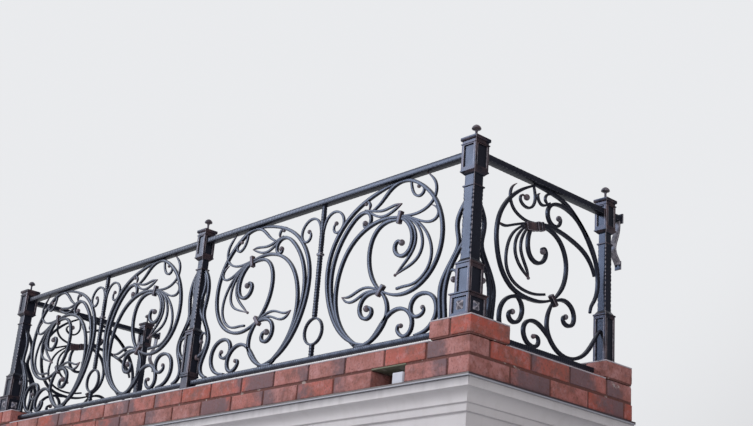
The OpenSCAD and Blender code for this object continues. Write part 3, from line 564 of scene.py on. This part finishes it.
def upright_post(levels, panels, x, y, dents):
    """A stack of square rings: levels gives height, half width and corner radius. Between the
    heights of a panel the faces sink in by 7 mm inside their frame, and between dents the corners
    are beaten in by 3 mm times one less the size of a cosine along the height. The first mark is
    the pale of the edges and panel frames, partly wear and partly a painted highlight, brightest on
    the crests between dents; the second the rust on the boxes and plates, which are wider than the shaft."""
    height, half, radius = (v[:, None] for v in np.array(levels).T)
    straight = shares * half * np.maximum(1 - inset / half, least)
    side = np.concatenate([straight, half - radius + radius * np.sin(bend)], 1)
    depth = np.concatenate([half + 0 * straight, half - radius + radius * np.cos(bend)], 1)
    fall = np.zeros_like(height)
    for low, high in panels:
        fall = np.maximum(fall, np.clip(np.minimum(height - low, high - height) / 0.001, 0, 1))
    depth[:, :len(shares)] -= sunk * fall * inside
    beat = np.clip(np.minimum(height - dents[0], dents[1] - height) / 0.004, 0, 1)
    crest = np.abs(np.cos(np.pi * (height / pitch + 0.15 * np.sin(height * 61))))
    blow = 0.7 * beat * dent * (1 - crest) * (0.75 + 0.35 * np.sin(height * 143 + x * 9))
    side[:, len(shares):] -= blow
    depth[:, len(shares):] -= blow
    faces = ((side, -depth), (depth, side), (-side, depth), (-depth, -side))
    ring = np.concatenate([np.stack(face, -1) for face in faces], 1)
    rows, cols = ring.shape[:2]
    points = np.concatenate([ring + (x, y), np.repeat(height[:, :, None], cols, 1)], -1).reshape(-1, 3)
    # Pale edges, brightest on the crests between dents, and pale panel frames: wear and a painted highlight.
    corner = np.array([0.35, 1.0, 0.35]) * np.where(beat > 0, 0.25 + 0.95 * crest, 1.0)
    frame_edge = fall * np.array([0, 0.8, 0.1, 0, 0, 0, 0.1, 0.8, 0])
    wear_and_highlight = np.tile(np.hstack([frame_edge, corner]), 4).ravel()
    box = half > np.median(half) + 0.004
    rusty = 0.59 * box * np.hstack([1 - fall * inside, np.ones((len(half), 3))])
    marks = np.stack([wear_and_highlight, np.tile(rusty, 4).ravel()], 1)
    return points, surface(rows, cols, True), lids(rows, cols), marks


def boxed(z, h, w, under=frame_w, over=frame_w):
    """Levels of a box with sunk panels, and the heights between which they sink."""
    low, high = z + under, z + h - over
    heights = [z, z + 0.001, low, low + 0.001, (low + high) / 2, high - 0.001, high, z + h - 0.001, z + h]
    return [(a, w - 0.001 * (a in (z, z + h)), 0.0022) for a in heights], [(low, high)]


def shouldered(z, box, shaft):
    """Levels of the sloped cap of a base box."""
    return [(z + .0002, box, .002), (z + .002, box + .003, .003), (z + .008, box + .003, .003),
            (z + .011, box - .003, .003), (z + .024, shaft + .001, .003)]


def headed(top, box, shaft):
    """Levels from the shaft's collar up to the roof of the cap, set down from the top of the knob."""
    knob_h, roof_h, cap_h, moulding_h, neck_h, collar_h = 0.064, 0.036, 0.120, 0.018, 0.046, 0.011
    roof = top - knob_h - roof_h
    z = roof - cap_h
    start = z - moulding_h
    neck = start - neck_h
    collar = neck - collar_h
    cap, panel = boxed(z, cap_h, box, 0.015, 0.005)
    levels = [(collar, shaft, .003), (collar + .003, shaft + .005, .003), (collar + .008, shaft + .005, .003),
              (neck, shaft, .003), (neck + .0005, shaft - .002, .003), (start, shaft - .002, .003),
              (start + .0005, shaft + .002, .003), (start + .004, shaft + .005, .003),
              (start + .009, box - .002, .003), (start + .013, box + .003, .003),
              (z - .0005, box + .003, .003)]
    levels += cap
    levels += [(roof + .0002, box + .003, .002), (roof + .004, box + .003, .002),
               (roof + .0042, box - .0015, .002), (roof + .017, box - .0015, .002),
               (roof + .0172, box + .003, .002), (roof + .020, box + .005, .002),
               (roof + .032, box + .005, .002), (roof + .036, box - .005, .003), (roof + .0362, .004, .001)]
    return levels, panel, collar


def knob(x, y, top):
    """The turned knob: a neck that opens under a flat-bottomed dome."""
    profile = np.array([[0, -.066], [.009, -.064], [.009, -.060], [.006, -.054], [.0055, -.034],
                        [.008, -.0265], [.014, -.0235], [.0195, -.0215], [.021, -.020], [.021, -.017],
                        [.019, -.012], [.015, -.007], [.010, -.003], [.005, -.0007], [0, 0]])
    points, quads, tris, marks = turned(profile, np.array([x, y, top]), 2, 28)
    # The knob is paler all over, wear and a painted highlight, and has copper patina.
    return points, quads, tris, marks + np.array([0.45, 0.6])


lower_h, lower_half, plate_half = 0.094, 0.054, 0.059
post_centres = {}
for name in ("corner_post_left", "corner_post_right", "centre_post", "end_post_left", "end_post_right"):
    low, high = (np.array(v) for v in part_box(name))
    x, y = (low[:2] + high[:2]) / 2
    foot, top = low[2], high[2]
    post_centres[name] = (x, y)
    if "corner" in name:
        box, shaft, box_h, under, over = 0.042, 0.030, 0.127, 0.007, 0.017
        levels, panels = boxed(foot, lower_h, lower_half)
        levels += [(foot + lower_h + z, plate_half, .002) for z in (.0002, .0058)]
        foot += 0.100
    else:
        box, shaft, box_h, under, over = 0.035, 0.023, 0.226, frame_w, frame_w
        levels, panels = [], []
    if name == "centre_post":
        levels = [(foot, .030, .003), (foot + .0695, .030, .003), (foot + .0745, .037, .003),
                  (foot + .0815, .037, .003)]
        foot += 0.0845
    base, panel = boxed(foot, box_h, box, under, over)
    head, head_panel, collar = headed(top, box, shaft)
    start = foot + box_h + 0.025
    levels += base + shouldered(foot + box_h, box, shaft)
    levels += [(z, shaft, .003) for z in np.arange(start, collar - 0.002, 0.004)] + head
    post = upright_post(levels, panels + panel + head_panel, x, y, (start, collar - 0.004))
    smithed(name + "_forged", joined([post, knob(x, y, top)]), [name], crease=42)

# Pyramid studs: forged square and riveted to the four sunk panels of each lower box. Their outline
# is |x|^9 + |y|^9 = r^9, a square with eased corners.
stud_half, stud_h = 0.019, 0.012
rise = np.array([[1, -0.08], [1, 0.05], [0.93, 0.14], [0.5, 0.56], [0.08, 0.95], [0, 1]])
a = np.linspace(0, 2 * np.pi, 32, endpoint=False)
square = stud_half / (np.abs(np.cos(a)) ** 9 + np.abs(np.sin(a)) ** 9) ** (1 / 9)
# Paler at the corners and up the faces of the stud: wear and a painted highlight.
wear_and_highlight = np.outer([0.4, 1.2, 1.2, 0.9, 1.3, 1.3], 0.5 + 0.5 * np.abs(np.sin(2 * a)) ** 8).ravel()
marks = np.stack([wear_and_highlight, np.full_like(wear_and_highlight, 0.3)], 1)
up = np.array([0, 0, 1])
studs = []
for name in ("corner_post_left", "corner_post_right"):
    centre = np.array([*post_centres[name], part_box(name)[0][2] + lower_h / 2])
    for facing in np.radians([0, 90, 180, 270]):
        out = np.array([np.sin(facing), -np.cos(facing), 0])
        aside = np.array([np.cos(facing), np.sin(facing), 0])
        reach = rise[:, :1] * square
        points = (centre + out * (lower_half - sunk + rise[:, 1, None, None] * stud_h)
                  + aside * (reach * np.cos(a))[..., None] + up * (reach * np.sin(a))[..., None])
        studs.append((points.reshape(-1, 3), surface(len(rise), len(a), True), np.zeros((0, 3), int), marks))
smithed("lower_box_studs", joined(studs), [], crease=30, weld=1e-6)


# Rails: flat bar let into the boxes, its four edges dressed with the hammer. The handrail is deeper
# than it is high and nearly smooth, and the bottom rail is lighter, with closer and deeper dents.
def four_corners(corner):
    """A corner curve of (across, up) set at the four corners of a bar, all the way round."""
    return np.vstack([corner, (corner * [-1, 1])[::-1], corner * [-1, -1], (corner * [1, -1])[::-1]])


def dressed_bar(start, end, half_across, half_up, pitch=0.020, dent=0.0016, radius=0.003):
    """A straight bar with a rounded section; its corners are beaten in along the run by the dent
    times one less the size of a cosine, a little uneven from blow to blow. Its edges are pale, most
    of all on the crests: wear, and a painted highlight."""
    start, end = np.array(start, float), np.array(end, float)
    length = np.linalg.norm(end - start)
    ahead = (end - start) / length
    up = np.array([0, 0, 1.0]) if abs(ahead[2]) < 0.5 else np.array([0, 1.0, 0])
    aside = np.cross(up, ahead)
    n = max(int(length / pitch * 4), 2)
    s = np.linspace(0, length, n + 1)
    crest = np.abs(np.cos(np.pi * s / pitch))
    blow = dent * (1 - crest) * (0.8 + 0.3 * np.sin(s * 91 + start.sum() * 7))
    corner = [half_across - radius + radius * np.cos(bend), half_up - radius + radius * np.sin(bend)]
    ring = four_corners(np.stack(corner, 1))
    section = ring[None] - 0.7 * np.sign(ring)[None] * blow[:, None, None]
    points = start + ahead * s[:, None, None] + section[..., [0]] * aside + section[..., [1]] * up
    rows, cols = len(s), len(ring)
    # Pale edges, brighter on the crests: wear and a painted highlight.
    wear_and_highlight = (np.tile([0.15, 0.55, 0.15], 4) * (0.4 + 0.6 * crest[:, None])).ravel()
    marks = np.stack([wear_and_highlight, np.zeros_like(wear_and_highlight)], 1)
    return points.reshape(-1, 3), surface(rows, cols, True), lids(rows, cols), marks


def rail_piece(name, node, **finish):
    """A dressed bar that fills the box of its node."""
    low, high = (np.array(v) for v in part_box(node))
    middle = (low + high) / 2
    run = int(np.argmax(high - low))
    start, end = middle.copy(), middle.copy()
    start[run], end[run] = low[run], high[run]
    half = (high - low) / 2
    smithed(name, dressed_bar(start, end, half[1 - run], half[2], **finish), [node], crease=42)


for part in ("front_left", "front_right", "side_left", "side_right"):
    rail_piece("handrail_bar_" + part, "handrail_" + part, pitch=0.024, dent=0.0009)
    rail_piece("bottom_bar_" + part, "bottom_rail_" + part, pitch=0.014, dent=0.0022, radius=0.0025)

# Handrail ends: the bar of each side runs on past its end post. It is welded to a small plate of
# iron, which four bolts hold at the back.
rail_low, rail_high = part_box("handrail_front_right")
rail_w, rail_h, plate_t, bolt_x, bolt_z = 0.044, 0.028, 0.008, 0.0245, 0.0185
bolt = np.array([[0, 0], [.0038, 0], [.0038, -.003], [.0026, -.0042], [0, -.0045]])
for side in ("left", "right"):
    low, high = (np.array(v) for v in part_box("handrail_stub_" + side))
    x, y, z = (low[0] + high[0]) / 2, high[1] - plate_t, (rail_low[2] + rail_high[2]) / 2
    end = dressed_bar((x, low[1], z), (x, y, z), rail_w / 2, rail_h / 2)
    plate = soft_boxes(np.array([[low[0], y, low[2]]]), high[None], 0.0015, inner=3)
    bolts = [turned(bolt, np.array([x + a * bolt_x, y, z + b * bolt_z]), 1, 12)
             for a in (-1, 1) for b in (-1, 1)]
    smithed("wall_flange_" + side, joined([end, plate] + bolts), ["handrail_stub_" + side],
            crease=42, weld=1e-6)

# Scroll panels: square bars drawn out at the anvil, curled cold over a form and held by collars.
# Each bar of the front motif is traced as (along from the mullion, up from the bottom rail) in mm.
sweep_outer = [[400, 5], [330, 12], [262, 36], [196, 82], [138, 150], [94, 236], [68, 330], [64, 428],
    [92, 520], [145, 598], [214, 658], [290, 696], [365, 720], [440, 737], [505, 744]]
sweep_middle = [[300, 8], [208, 84], [150, 163], [110, 255], [94, 352], [106, 442], [143, 526], [198, 594],
    [250, 637], [296, 650], [335, 637], [352, 603], [337, 570], [308, 566], [298, 586], [310, 598]]
sweep_inner = [[535, 572], [470, 583], [402, 583], [335, 568], [274, 541], [218, 497], [173, 434],
    [146, 358], [137, 276], [150, 192], [188, 116], [245, 56], [315, 16]]
heart_left = [[530, 560], [478, 568], [425, 560], [384, 530], [358, 482], [351, 421], [362, 358],
    [388, 303], [420, 264], [448, 242]]
great_ring = [[362, 643], [405, 664], [440, 697], [480, 730], [537, 748], [600, 737], [662, 704],
    [718, 660], [764, 608], [798, 545], [817, 476], [818, 407], [802, 343], [771, 289], [727, 247],
    [672, 217], [612, 202], [552, 203], [495, 219], [448, 242]]
heart_scroll = [[540, 566], [582, 548], [616, 511], [633, 464], [630, 419], [607, 387], [570, 377],
    [535, 393], [518, 422], [523, 450], [545, 461], [566, 444]]
foot_scroll = [[446, 238], [388, 245], [342, 233], [316, 202], [314, 162], [338, 130], [374, 122],
    [400, 140], [398, 168], [376, 180], [362, 174]]
foot_sweep = [[450, 238], [482, 206], [500, 167], [502, 128], [488, 90], [456, 50], [412, 20], [360, 2],
    [300, 7]]
rail_scroll = [[385, 12], [425, 36], [458, 71], [487, 104], [523, 131], [568, 143], [615, 133], [652, 104],
    [668, 62], [656, 22], [622, 3], [588, 20], [568, 46], [578, 66], [596, 62]]
corner_scroll = [[680, 4], [745, 10], [785, 40], [806, 75], [808, 110], [797, 148], [760, 180], [708, 188],
    [668, 176], [646, 145], [648, 108], [672, 86], [706, 84], [734, 102], [728, 122]]
leaf_inner = [[550, 568], [600, 545], [640, 502], [656, 452], [648, 406], [618, 368], [578, 334],
    [536, 298]]
leaf_outer = [[555, 570], [620, 545], [670, 498], [697, 443], [698, 392], [674, 352], [632, 329],
    [585, 316], [536, 298]]
tendril = [[545, 574], [612, 563], [672, 565], [722, 581], [757, 611], [769, 653], [755, 702], [700, 748]]
tendril_loop = [[565, 570], [622, 550], [668, 527], [712, 509], [755, 505], [784, 521], [788, 549],
    [769, 571], [742, 583]]
top_knot = [[600, 730], [608, 688], [627, 657], [655, 642], [681, 650], [691, 674], [675, 696], [651, 698]]
beak_upper = [[300, 655], [360, 640], [411, 626], [457, 629], [503, 638], [548, 634]]
beak_lower = [[325, 645], [370, 615], [414, 596], [460, 598], [505, 614], [548, 634]]
beak_hook = [[262, 680], [293, 704], [322, 696], [338, 674], [328, 652]]
fin_upper = [[440, 248], [385, 269], [337, 277], [296, 269], [258, 254], [222, 246], [186, 256]]
fin_lower = [[440, 244], [380, 254], [334, 249], [294, 230], [255, 219], [216, 226], [186, 256]]
leaf_long = [[560, 572], [638, 541], [700, 489], [742, 430], [760, 368], [752, 314], [722, 272], [680, 244],
    [635, 235], [592, 238], [549, 234]]
# The front motif: its full bars, its thin bars drawn to a point, its thin bars with a blunt end, its
# ball ends (place, diameter) and its collars (place, lean, length across the bundle)
front_motif = ([sweep_outer, sweep_middle, sweep_inner, heart_left, great_ring, heart_scroll, foot_scroll,
                foot_sweep, rail_scroll, corner_scroll],
               [leaf_inner, leaf_outer, tendril, tendril_loop, top_knot, beak_upper, beak_lower, beak_hook,
                fin_upper, fin_lower],
               [leaf_long],
               [[308, 590, 28], [564, 445, 30], [651, 694, 20], [304, 686, 18], [362, 174, 32],
                [594, 60, 22], [722, 122, 22], [535, 299, 15]],
               [[541, 569, 12, 60], [447, 243, 40, 58]])

# The side motif was bent freely after the front one, from the end post to the corner post. Its upper
# bundle is wrapped in a wide strap (width in metres) beside two narrow ones.
side_sweep_outer = [[560, 745], [480, 743], [400, 738], [340, 728], [270, 700], [200, 650], [150, 610],
    [108, 566], [72, 505], [52, 430], [58, 355], [84, 310], [108, 284], [115, 250]]
side_sweep_middle = [[66, 480], [110, 560], [180, 640], [250, 684], [350, 706], [428, 692], [460, 655],
    [455, 616], [430, 590], [390, 586], [358, 608], [354, 640], [374, 638]]
side_sweep_inner = [[600, 540], [520, 565], [450, 580], [350, 575], [230, 550], [150, 520], [100, 470],
    [85, 430]]
side_circle = [[580, 520], [540, 555], [500, 566], [430, 565], [350, 530], [308, 460], [303, 400],
    [320, 330], [360, 280], [400, 245]]
side_ring = [[400, 245], [480, 215], [560, 208], [650, 213], [722, 238], [784, 300], [812, 380], [822, 450],
    [812, 520], [782, 580], [730, 640], [660, 692], [600, 722], [556, 742]]
side_heart = [[560, 550], [592, 510], [600, 450], [582, 400], [530, 378], [480, 398], [456, 438],
    [468, 468], [496, 460], [490, 446]]
side_foot_scroll = [[395, 240], [350, 260], [300, 264], [252, 242], [234, 200], [246, 162], [288, 148],
    [324, 162], [324, 188], [302, 194]]
side_foot_sweep = [[395, 240], [432, 190], [447, 130], [432, 78], [382, 30], [320, 6], [250, 5], [160, 38],
    [100, 100], [50, 170], [30, 185]]
side_rail_scroll = [[415, 60], [455, 92], [500, 116], [545, 122], [588, 110], [613, 78], [605, 36],
    [570, 8], [526, 4], [494, 26], [500, 58], [532, 58]]
side_corner_scroll = [[600, 206], [645, 204], [690, 198], [742, 174], [776, 130], [782, 80], [768, 30],
    [745, 4]]
side_corner_curl = [[664, 202], [632, 186], [616, 150], [632, 104], [668, 80], [708, 86], [720, 116],
    [698, 132]]
side_leaf_inner = [[600, 530], [640, 480], [652, 420], [622, 370], [590, 330], [582, 300]]
side_leaf_outer = [[620, 530], [682, 470], [692, 400], [660, 348], [606, 314], [582, 300]]
side_tendril = [[520, 570], [600, 553], [680, 570], [722, 600], [738, 645], [726, 690], [690, 712]]
side_loop = [[620, 545], [720, 510], [764, 490], [812, 500]]
side_knot = [[565, 736], [549, 690], [555, 650], [590, 618], [640, 622], [668, 648], [650, 676], [622, 668]]
side_curl_inner = [[440, 690], [470, 670], [500, 660], [527, 674], [537, 706], [518, 714]]
side_curl_outer = [[420, 738], [450, 732], [476, 716], [480, 690], [455, 680]]
side_leaf_long = [[620, 540], [700, 490], [737, 430], [752, 355], [738, 300], [700, 262], [636, 240],
    [545, 235], [462, 256]]
side_motif = ([side_sweep_outer, side_sweep_middle, side_sweep_inner, side_circle, side_ring, side_heart,
               side_foot_scroll, side_foot_sweep, side_rail_scroll, side_corner_scroll, side_corner_curl],
              [side_leaf_inner, side_leaf_outer, side_tendril, side_loop, side_knot, side_curl_inner,
               side_curl_outer],
              [side_leaf_long],
              [[370, 634, 28], [484, 448, 28], [614, 668, 30], [302, 190, 26], [536, 52, 22],
               [688, 128, 26], [584, 302, 16]],
              [[578, 540, 11, 38, 0.066], [524, 555, 14, 43], [497, 561, 14, 42], [397, 243, 42, 58]])

# The drawing sheet is stretched to the panel that it fills.
sheet_w, sheet_h = 987, 748
bar, thin_bar = 0.016, 0.011
panel_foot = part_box("bottom_rail_front_right")[1][2]
panel_h = rail_low[2] - panel_foot


def smooth_line(dots, each=7):
    """A uniform cubic B-spline from the first dot to the last: a point is the mean of four
    neighbouring dots, weighted (1-t)^3, 3t^3-6t^2+4, 1+3t+3t^2-3t^3 and t^3, over six."""
    p = np.array(dots, float)
    q = np.vstack([2 * p[0] - p[1], p, 2 * p[-1] - p[-2]])
    t = np.linspace(0, 1, each, endpoint=False)
    weight = np.stack([(1 - t) ** 3, 3 * t ** 3 - 6 * t ** 2 + 4, 1 + 3 * t + 3 * t ** 2 - 3 * t ** 3,
                       t ** 3], 1)
    four = np.stack([q[i:len(q) - 3 + i] for i in range(4)], 1)
    return np.vstack([np.einsum("kb,sbd->skd", weight / 6, four).reshape(-1, 2), p[-1]])


def forged_run(dots, width, tips=(1.0, 1.0), coppered=(0.0, 0.0), scale=(1.0, 1.0), deep=None, drawn=0.22):
    """A bar carried along a smooth line in the plane of the panel. Its half width at the share u of
    the run is w times the least of 1, a + (1 - a) sin(90 u / drawn) and the same from the far
    end, and it swells and thins by 4% as the hammer left it. It is as deep as it is wide, or as
    deep as told."""
    line = smooth_line(dots) * scale / 1000
    ahead = np.gradient(line, axis=0)
    ahead /= np.linalg.norm(ahead, axis=1, keepdims=True)
    out = np.stack([-ahead[:, 1], ahead[:, 0]], 1)
    s = np.concatenate([[0], np.cumsum(np.linalg.norm(np.diff(line, axis=0), axis=1))])
    u = s / s[-1]
    taper = np.ones_like(u)
    for tip, share in zip(tips, (u, 1 - u)):
        taper = np.minimum(taper, tip + (1 - tip) * np.sin(np.pi / 2 * np.minimum(1, share / drawn)))
    uneven = 1 + 0.025 * np.sin(s * 310 + line[0].sum() * 900) + 0.015 * np.sin(s * 740)
    w, d = width / 2 * taper * uneven, (deep or width) / 2 * (0.35 + 0.65 * taper)
    line = np.vstack([line[0] - ahead[0] * 0.001, line, line[-1] + ahead[-1] * 0.001])
    out = np.vstack([out[:1], out, out[-1:]])
    w, d, u = (np.concatenate([[v[0] * e], v, [v[-1] * e]]) for v, e in ((w, 0.8), (d, 0.8), (u, 1)))
    easing = 0.14
    ring = four_corners(1 - easing + easing * np.stack([np.cos(bend), np.sin(bend)], 1))
    flat = line[:, None] + out[:, None] * (w[:, None] * ring[:, 0])[..., None]
    back = d[:, None] * ring[:, 1]
    points = np.concatenate([flat, back[..., None]], -1)[..., [0, 2, 1]].reshape(-1, 3)
    rows, cols = len(line), len(ring)
    near, far = np.clip(1 - u / 0.25, 0, 1), np.clip(1 - (1 - u) / 0.3, 0, 1)
    copper = np.maximum(coppered[0] * near, coppered[1] * far)
    # The corners of the bar are paler, thin bars most: wear and a painted highlight along the edges.
    edge_rub_and_highlight = np.tile([0.1, 0.55 if width > 0.012 else 0.85, 0.1], 4)
    marks = np.stack([np.tile(edge_rub_and_highlight, rows), np.repeat(copper, cols)], 1)
    return points, surface(rows, cols, True), lids(rows, cols), marks


def scroll_eye(a, c, diameter, scale):
    """The flattened ball that ends a scroll: a squat dome on both faces."""
    r = diameter / 2000
    angle = np.radians(np.linspace(-90, 90, 9))
    profile = np.stack([r * np.cos(angle) ** 0.8, r * 0.85 * np.sin(angle)], 1)
    profile[[0, -1], 0] = 0
    centre = np.array([a * scale[0], 0, c * scale[1]]) / 1000
    points, quads, tris, marks = turned(profile, centre, 1, 20)
    # The ball is paler all over as a painted highlight, and has copper patina.
    return points, quads, tris, marks + np.array([0.5, 0.65])


def collar_strap(scale, a, c, lean, length, width=0.019, depth=0.024):
    """A strap bent hot round the bundle and closed behind it."""
    half = np.array([[width / 2, depth / 2, length / 2000]])
    points, quads, tris, marks = soft_boxes(-half, half, 0.003, inner=2)
    x, y, z = points.T
    t = np.radians(lean)
    spun = np.stack([x * np.cos(t) + z * np.sin(t), y, z * np.cos(t) - x * np.sin(t)], 1)
    placed = spun + np.array([a * scale[0], 0, c * scale[1]]) / 1000
    # The strap's edges are pale: wear and a painted highlight; the strap has copper patina.
    return placed, quads, tris, marks * [0.65, 1] + np.array([0, 0.65])


def sheet_scale(span):
    """Stretch of the drawing sheet to a panel of this span, along and up."""
    return span * 1000 / sheet_w, panel_h * 1000 / sheet_h


def motif(span, drawing):
    """All the bars, ball ends and collars of a panel of this span, before it is set in place."""
    full, pointed, blunt, balls, collars = drawing
    scale = sheet_scale(span)
    return joined([forged_run(b, bar, (0.6, 0.6), (0.1, 0.4), scale) for b in full]
                  + [forged_run(b, thin_bar, (0.8, 0.3), (0.15, 0.85), scale) for b in pointed]
                  + [forged_run(b, thin_bar, (0.8, 1.0), (0.15, 0.3), scale) for b in blunt]
                  + [scroll_eye(a, c, d, scale) for a, c, d in balls]
                  + [collar_strap(scale, *collar) for collar in collars])


def hung(shape, origin, along):
    """A panel shape set in place: its first number runs along, its second across, its third up."""
    points, quads, tris, marks = shape
    across = np.abs([along[1], along[0], 0])
    placed = np.array(origin) + points @ np.array([along, across, [0, 0, 1.0]])
    return placed, quads, tris, marks


front_y = post_centres["centre_post"][1]
half_bay = post_centres["corner_post_right"][0] / 2
end_y = post_centres["end_post_right"][1]
side_span = end_y - front_y
for k, (axis, way) in enumerate(((-1, -1), (-1, 1), (1, -1), (1, 1)), 1):
    panel = hung(motif(half_bay, front_motif), (axis * half_bay, front_y, panel_foot), (way, 0, 0))
    smithed(f"scrollwork_{k}", panel, [f"scroll_panel_{k}"], weld=1e-7)
for side, s in (("left", -1), ("right", 1)):
    panel = hung(motif(side_span, side_motif), (s * 2 * half_bay, end_y, panel_foot), (0, -1, 0))
    smithed("scrollwork_side_" + side, panel, ["scroll_panel_side_" + side], weld=1e-7)

# Scrolls beside the posts: a long S that leans on the shaft, a stem that leans on it lower down and
# a small curl. They stand on the raised block, or run down to the bottom rail at the centre post.
block_sweep = [[975, 580], [940, 545], [906, 492], [901, 450], [912, 405], [921, 368], [906, 332],
    [868, 282], [829, 222], [818, 176], [826, 110], [831, 65], [834, 25]]
block_stem = [[975, 395], [940, 362], [908, 324], [876, 272], [853, 212], [846, 150], [856, 80], [862, 25]]
block_curl = [[848, 200], [856, 244], [886, 262], [914, 250], [918, 222], [900, 212]]
block_balls = [[898, 214, 28]]
rail_sweep = [[975, 606], [940, 590], [908, 528], [901, 465], [914, 405], [925, 362], [910, 320],
    [876, 270], [846, 218], [852, 168], [884, 112], [902, 62], [880, 20], [835, 3]]
rail_stem = [[975, 610], [942, 570], [932, 530], [938, 480], [966, 432], [962, 382], [932, 340], [898, 298],
    [868, 250], [856, 208], [866, 168], [896, 134], [934, 122]]
rail_curl = [[858, 205], [872, 240], [900, 252], [924, 238], [930, 212], [914, 200]]
rail_balls = [[914, 202, 24], [936, 122, 30]]


def beside_post(span, sweep, stem, curl, balls):
    """The sweep, the stem and the curl, with the ball ends."""
    scale = sheet_scale(span)
    return joined([forged_run(sweep, bar, scale=scale), forged_run(stem, bar, scale=scale),
                   forged_run(curl, thin_bar, (0.8, 0.8), (0.2, 0.5), scale)]
                  + [scroll_eye(a, c, d, scale) for a, c, d in balls])


for side, s in (("left", -1), ("right", 1)):
    front = beside_post(half_bay, block_sweep, block_stem, block_curl, block_balls)
    smithed("post_scrollwork_corner_" + side, hung(front, (s * half_bay, front_y, panel_foot), (s, 0, 0)),
            ["post_scroll_corner_" + side], weld=1e-7)
    flank = beside_post(side_span, block_sweep, block_stem, block_curl, block_balls)
    smithed("post_scrollwork_side_" + side, hung(flank, (s * 2 * half_bay, end_y, panel_foot), (0, -1, 0)),
            ["post_scroll_side_" + side], weld=1e-7)
shape = beside_post(half_bay, rail_sweep, rail_stem, rail_curl, rail_balls)
both = [hung(shape, (s * half_bay, front_y, panel_foot), (-s, 0, 0)) for s in (-1, 1)]
smithed("post_scrollwork_centre", joined(both), ["post_scroll_centre"], weld=1e-7)

# Mullions: a square bar with beaten edges, a collar at two thirds, two scrolls at its head and a
# ring of flat band, hammered all round, at its foot.
mullion_scroll = [[6, 600], [14, 650], [38, 688], [80, 703], [126, 690], [158, 650], [153, 604], [118, 580],
    [86, 594], [82, 624], [100, 638]]
mullion_ball, collar_up = (100, 636, 22), 500
collar_half = np.array([[0.014, 0.014, 0.006]])
stem = {"half_across": 0.010, "half_up": 0.010, "pitch": 0.014, "dent": 0.0024, "radius": 0.0022}
ring_r, ring_c, band_t, band_w = 0.063, 0.123, 0.011, 0.016


def hammered_ring():
    """A band carried round a circle. Its section is a soft square: half the thickness and half the
    width times the cosine and the sine of its angle, each raised to 0.35. At the angle a of the
    circle the thickness is beaten down by 16% of the size of sin 14a and 6% of sin (5a + 1)."""
    a, b = np.linspace(0, 2 * np.pi, 97)[:-1], np.linspace(0, 2 * np.pi, 17)[:-1]
    blow = 1 - 0.16 * np.abs(np.sin(a * 14)) - 0.06 * np.sin(a * 5 + 1)
    out = ring_r + band_t / 2 * blow[:, None] * np.sign(np.cos(b)) * np.abs(np.cos(b)) ** 0.35
    deep = band_w / 2 * np.sign(np.sin(b)) * np.abs(np.sin(b)) ** 0.35 * np.ones((len(a), 1))
    points = np.stack([out * np.sin(a)[:, None], deep, ring_c + out * np.cos(a)[:, None]], -1)
    quads = surface(len(a) + 1, len(b), True) % (len(a) * len(b))
    edge = np.abs(np.abs(np.tan(b)) - 1) < 0.05
    # Pale at the edges of the band and on its less beaten parts: wear and a painted highlight.
    wear_and_highlight = ((0.25 + 0.75 * edge) * (blow[:, None] - 0.55) * 2).ravel()
    marks = np.stack([wear_and_highlight, np.full_like(wear_and_highlight, 0.1)], 1)
    return points.reshape(-1, 3), quads, np.zeros((0, 3), int), marks


scale = sheet_scale(half_bay)
shapes = [dressed_bar((0, 0, ring_c + ring_r), (0, 0, panel_h), **stem),
          dressed_bar((0, 0, 0), (0, 0, ring_c - ring_r), **stem)]
for m in (1, -1):
    for points, quads, tris, marks in (forged_run(mullion_scroll, thin_bar, (1, 0.7), (0, 0.6), scale),
                                       scroll_eye(*mullion_ball, scale)):
        shapes.append((points * [m, 1, 1], quads, tris, marks))
points, quads, tris, marks = soft_boxes(-collar_half, collar_half, 0.002, inner=2)
raised = points + [0, 0, collar_up / 1000 * scale[1]]
# The collar is paler all over: wear and a painted highlight.
shapes += [(raised, quads, tris, marks + np.array([0.35, 0.1])), hammered_ring()]
for side, s in (("left", -1), ("right", 1)):
    smithed("hammered_mullion_" + side, hung(joined(shapes), (s * half_bay, front_y, panel_foot), (1, 0, 0)),
            ["mullion_" + side], crease=42, weld=1e-7)

# Strap scrolls: flat iron bent in an S that stays up the end of each handrail. Its foot is welded to
# a lug, which two bolts hold at the back.
strap_t, strap_w, lug_t, lug_h, lug_drop, bolt_x = 0.008, 0.036, 0.005, 0.042, 0.217, 0.011
start_y = end_y + 0.035
reach = (wall_y - start_y) * 1000
dots = [[reach - 12, 6], [reach - 12, -24], [reach - 14, -50], [reach - 23, -80], [reach - 37, -115],
        [reach - 45, -143], [reach - 38, -169], [reach - 21, -188], [reach - 9, -201], [reach - 5.5, -212]]
points, quads, tris, marks = forged_run(dots, strap_t, deep=strap_w)
# The strap is paler all over: wear and a painted highlight.
strap = points, quads, tris, marks + np.array([0.5, 0.2])
bolt = np.array([[0, 0], [.005, 0], [.005, -.003], [.003, -.0042], [0, -.0045]])
z = rail_low[2] - lug_drop
for side, s in (("left", -1), ("right", 1)):
    low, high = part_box("wall_scroll_" + side)
    lug = soft_boxes(np.array([[low[0], wall_y - lug_t, z - lug_h / 2]]),
                     np.array([[high[0], wall_y, z + lug_h / 2]]), 0.0012, inner=2)
    x = (low[0] + high[0]) / 2
    bolts = [turned(bolt, np.array([x + a * bolt_x, wall_y - lug_t, z]), 1, 12) for a in (-1, 1)]
    bent = hung(strap, (s * 2 * half_bay, start_y, rail_low[2]), (0, 1, 0))
    smithed("wall_scrollwork_" + side, joined([bent, lug] + bolts), ["wall_scroll_" + side], weld=1e-7)
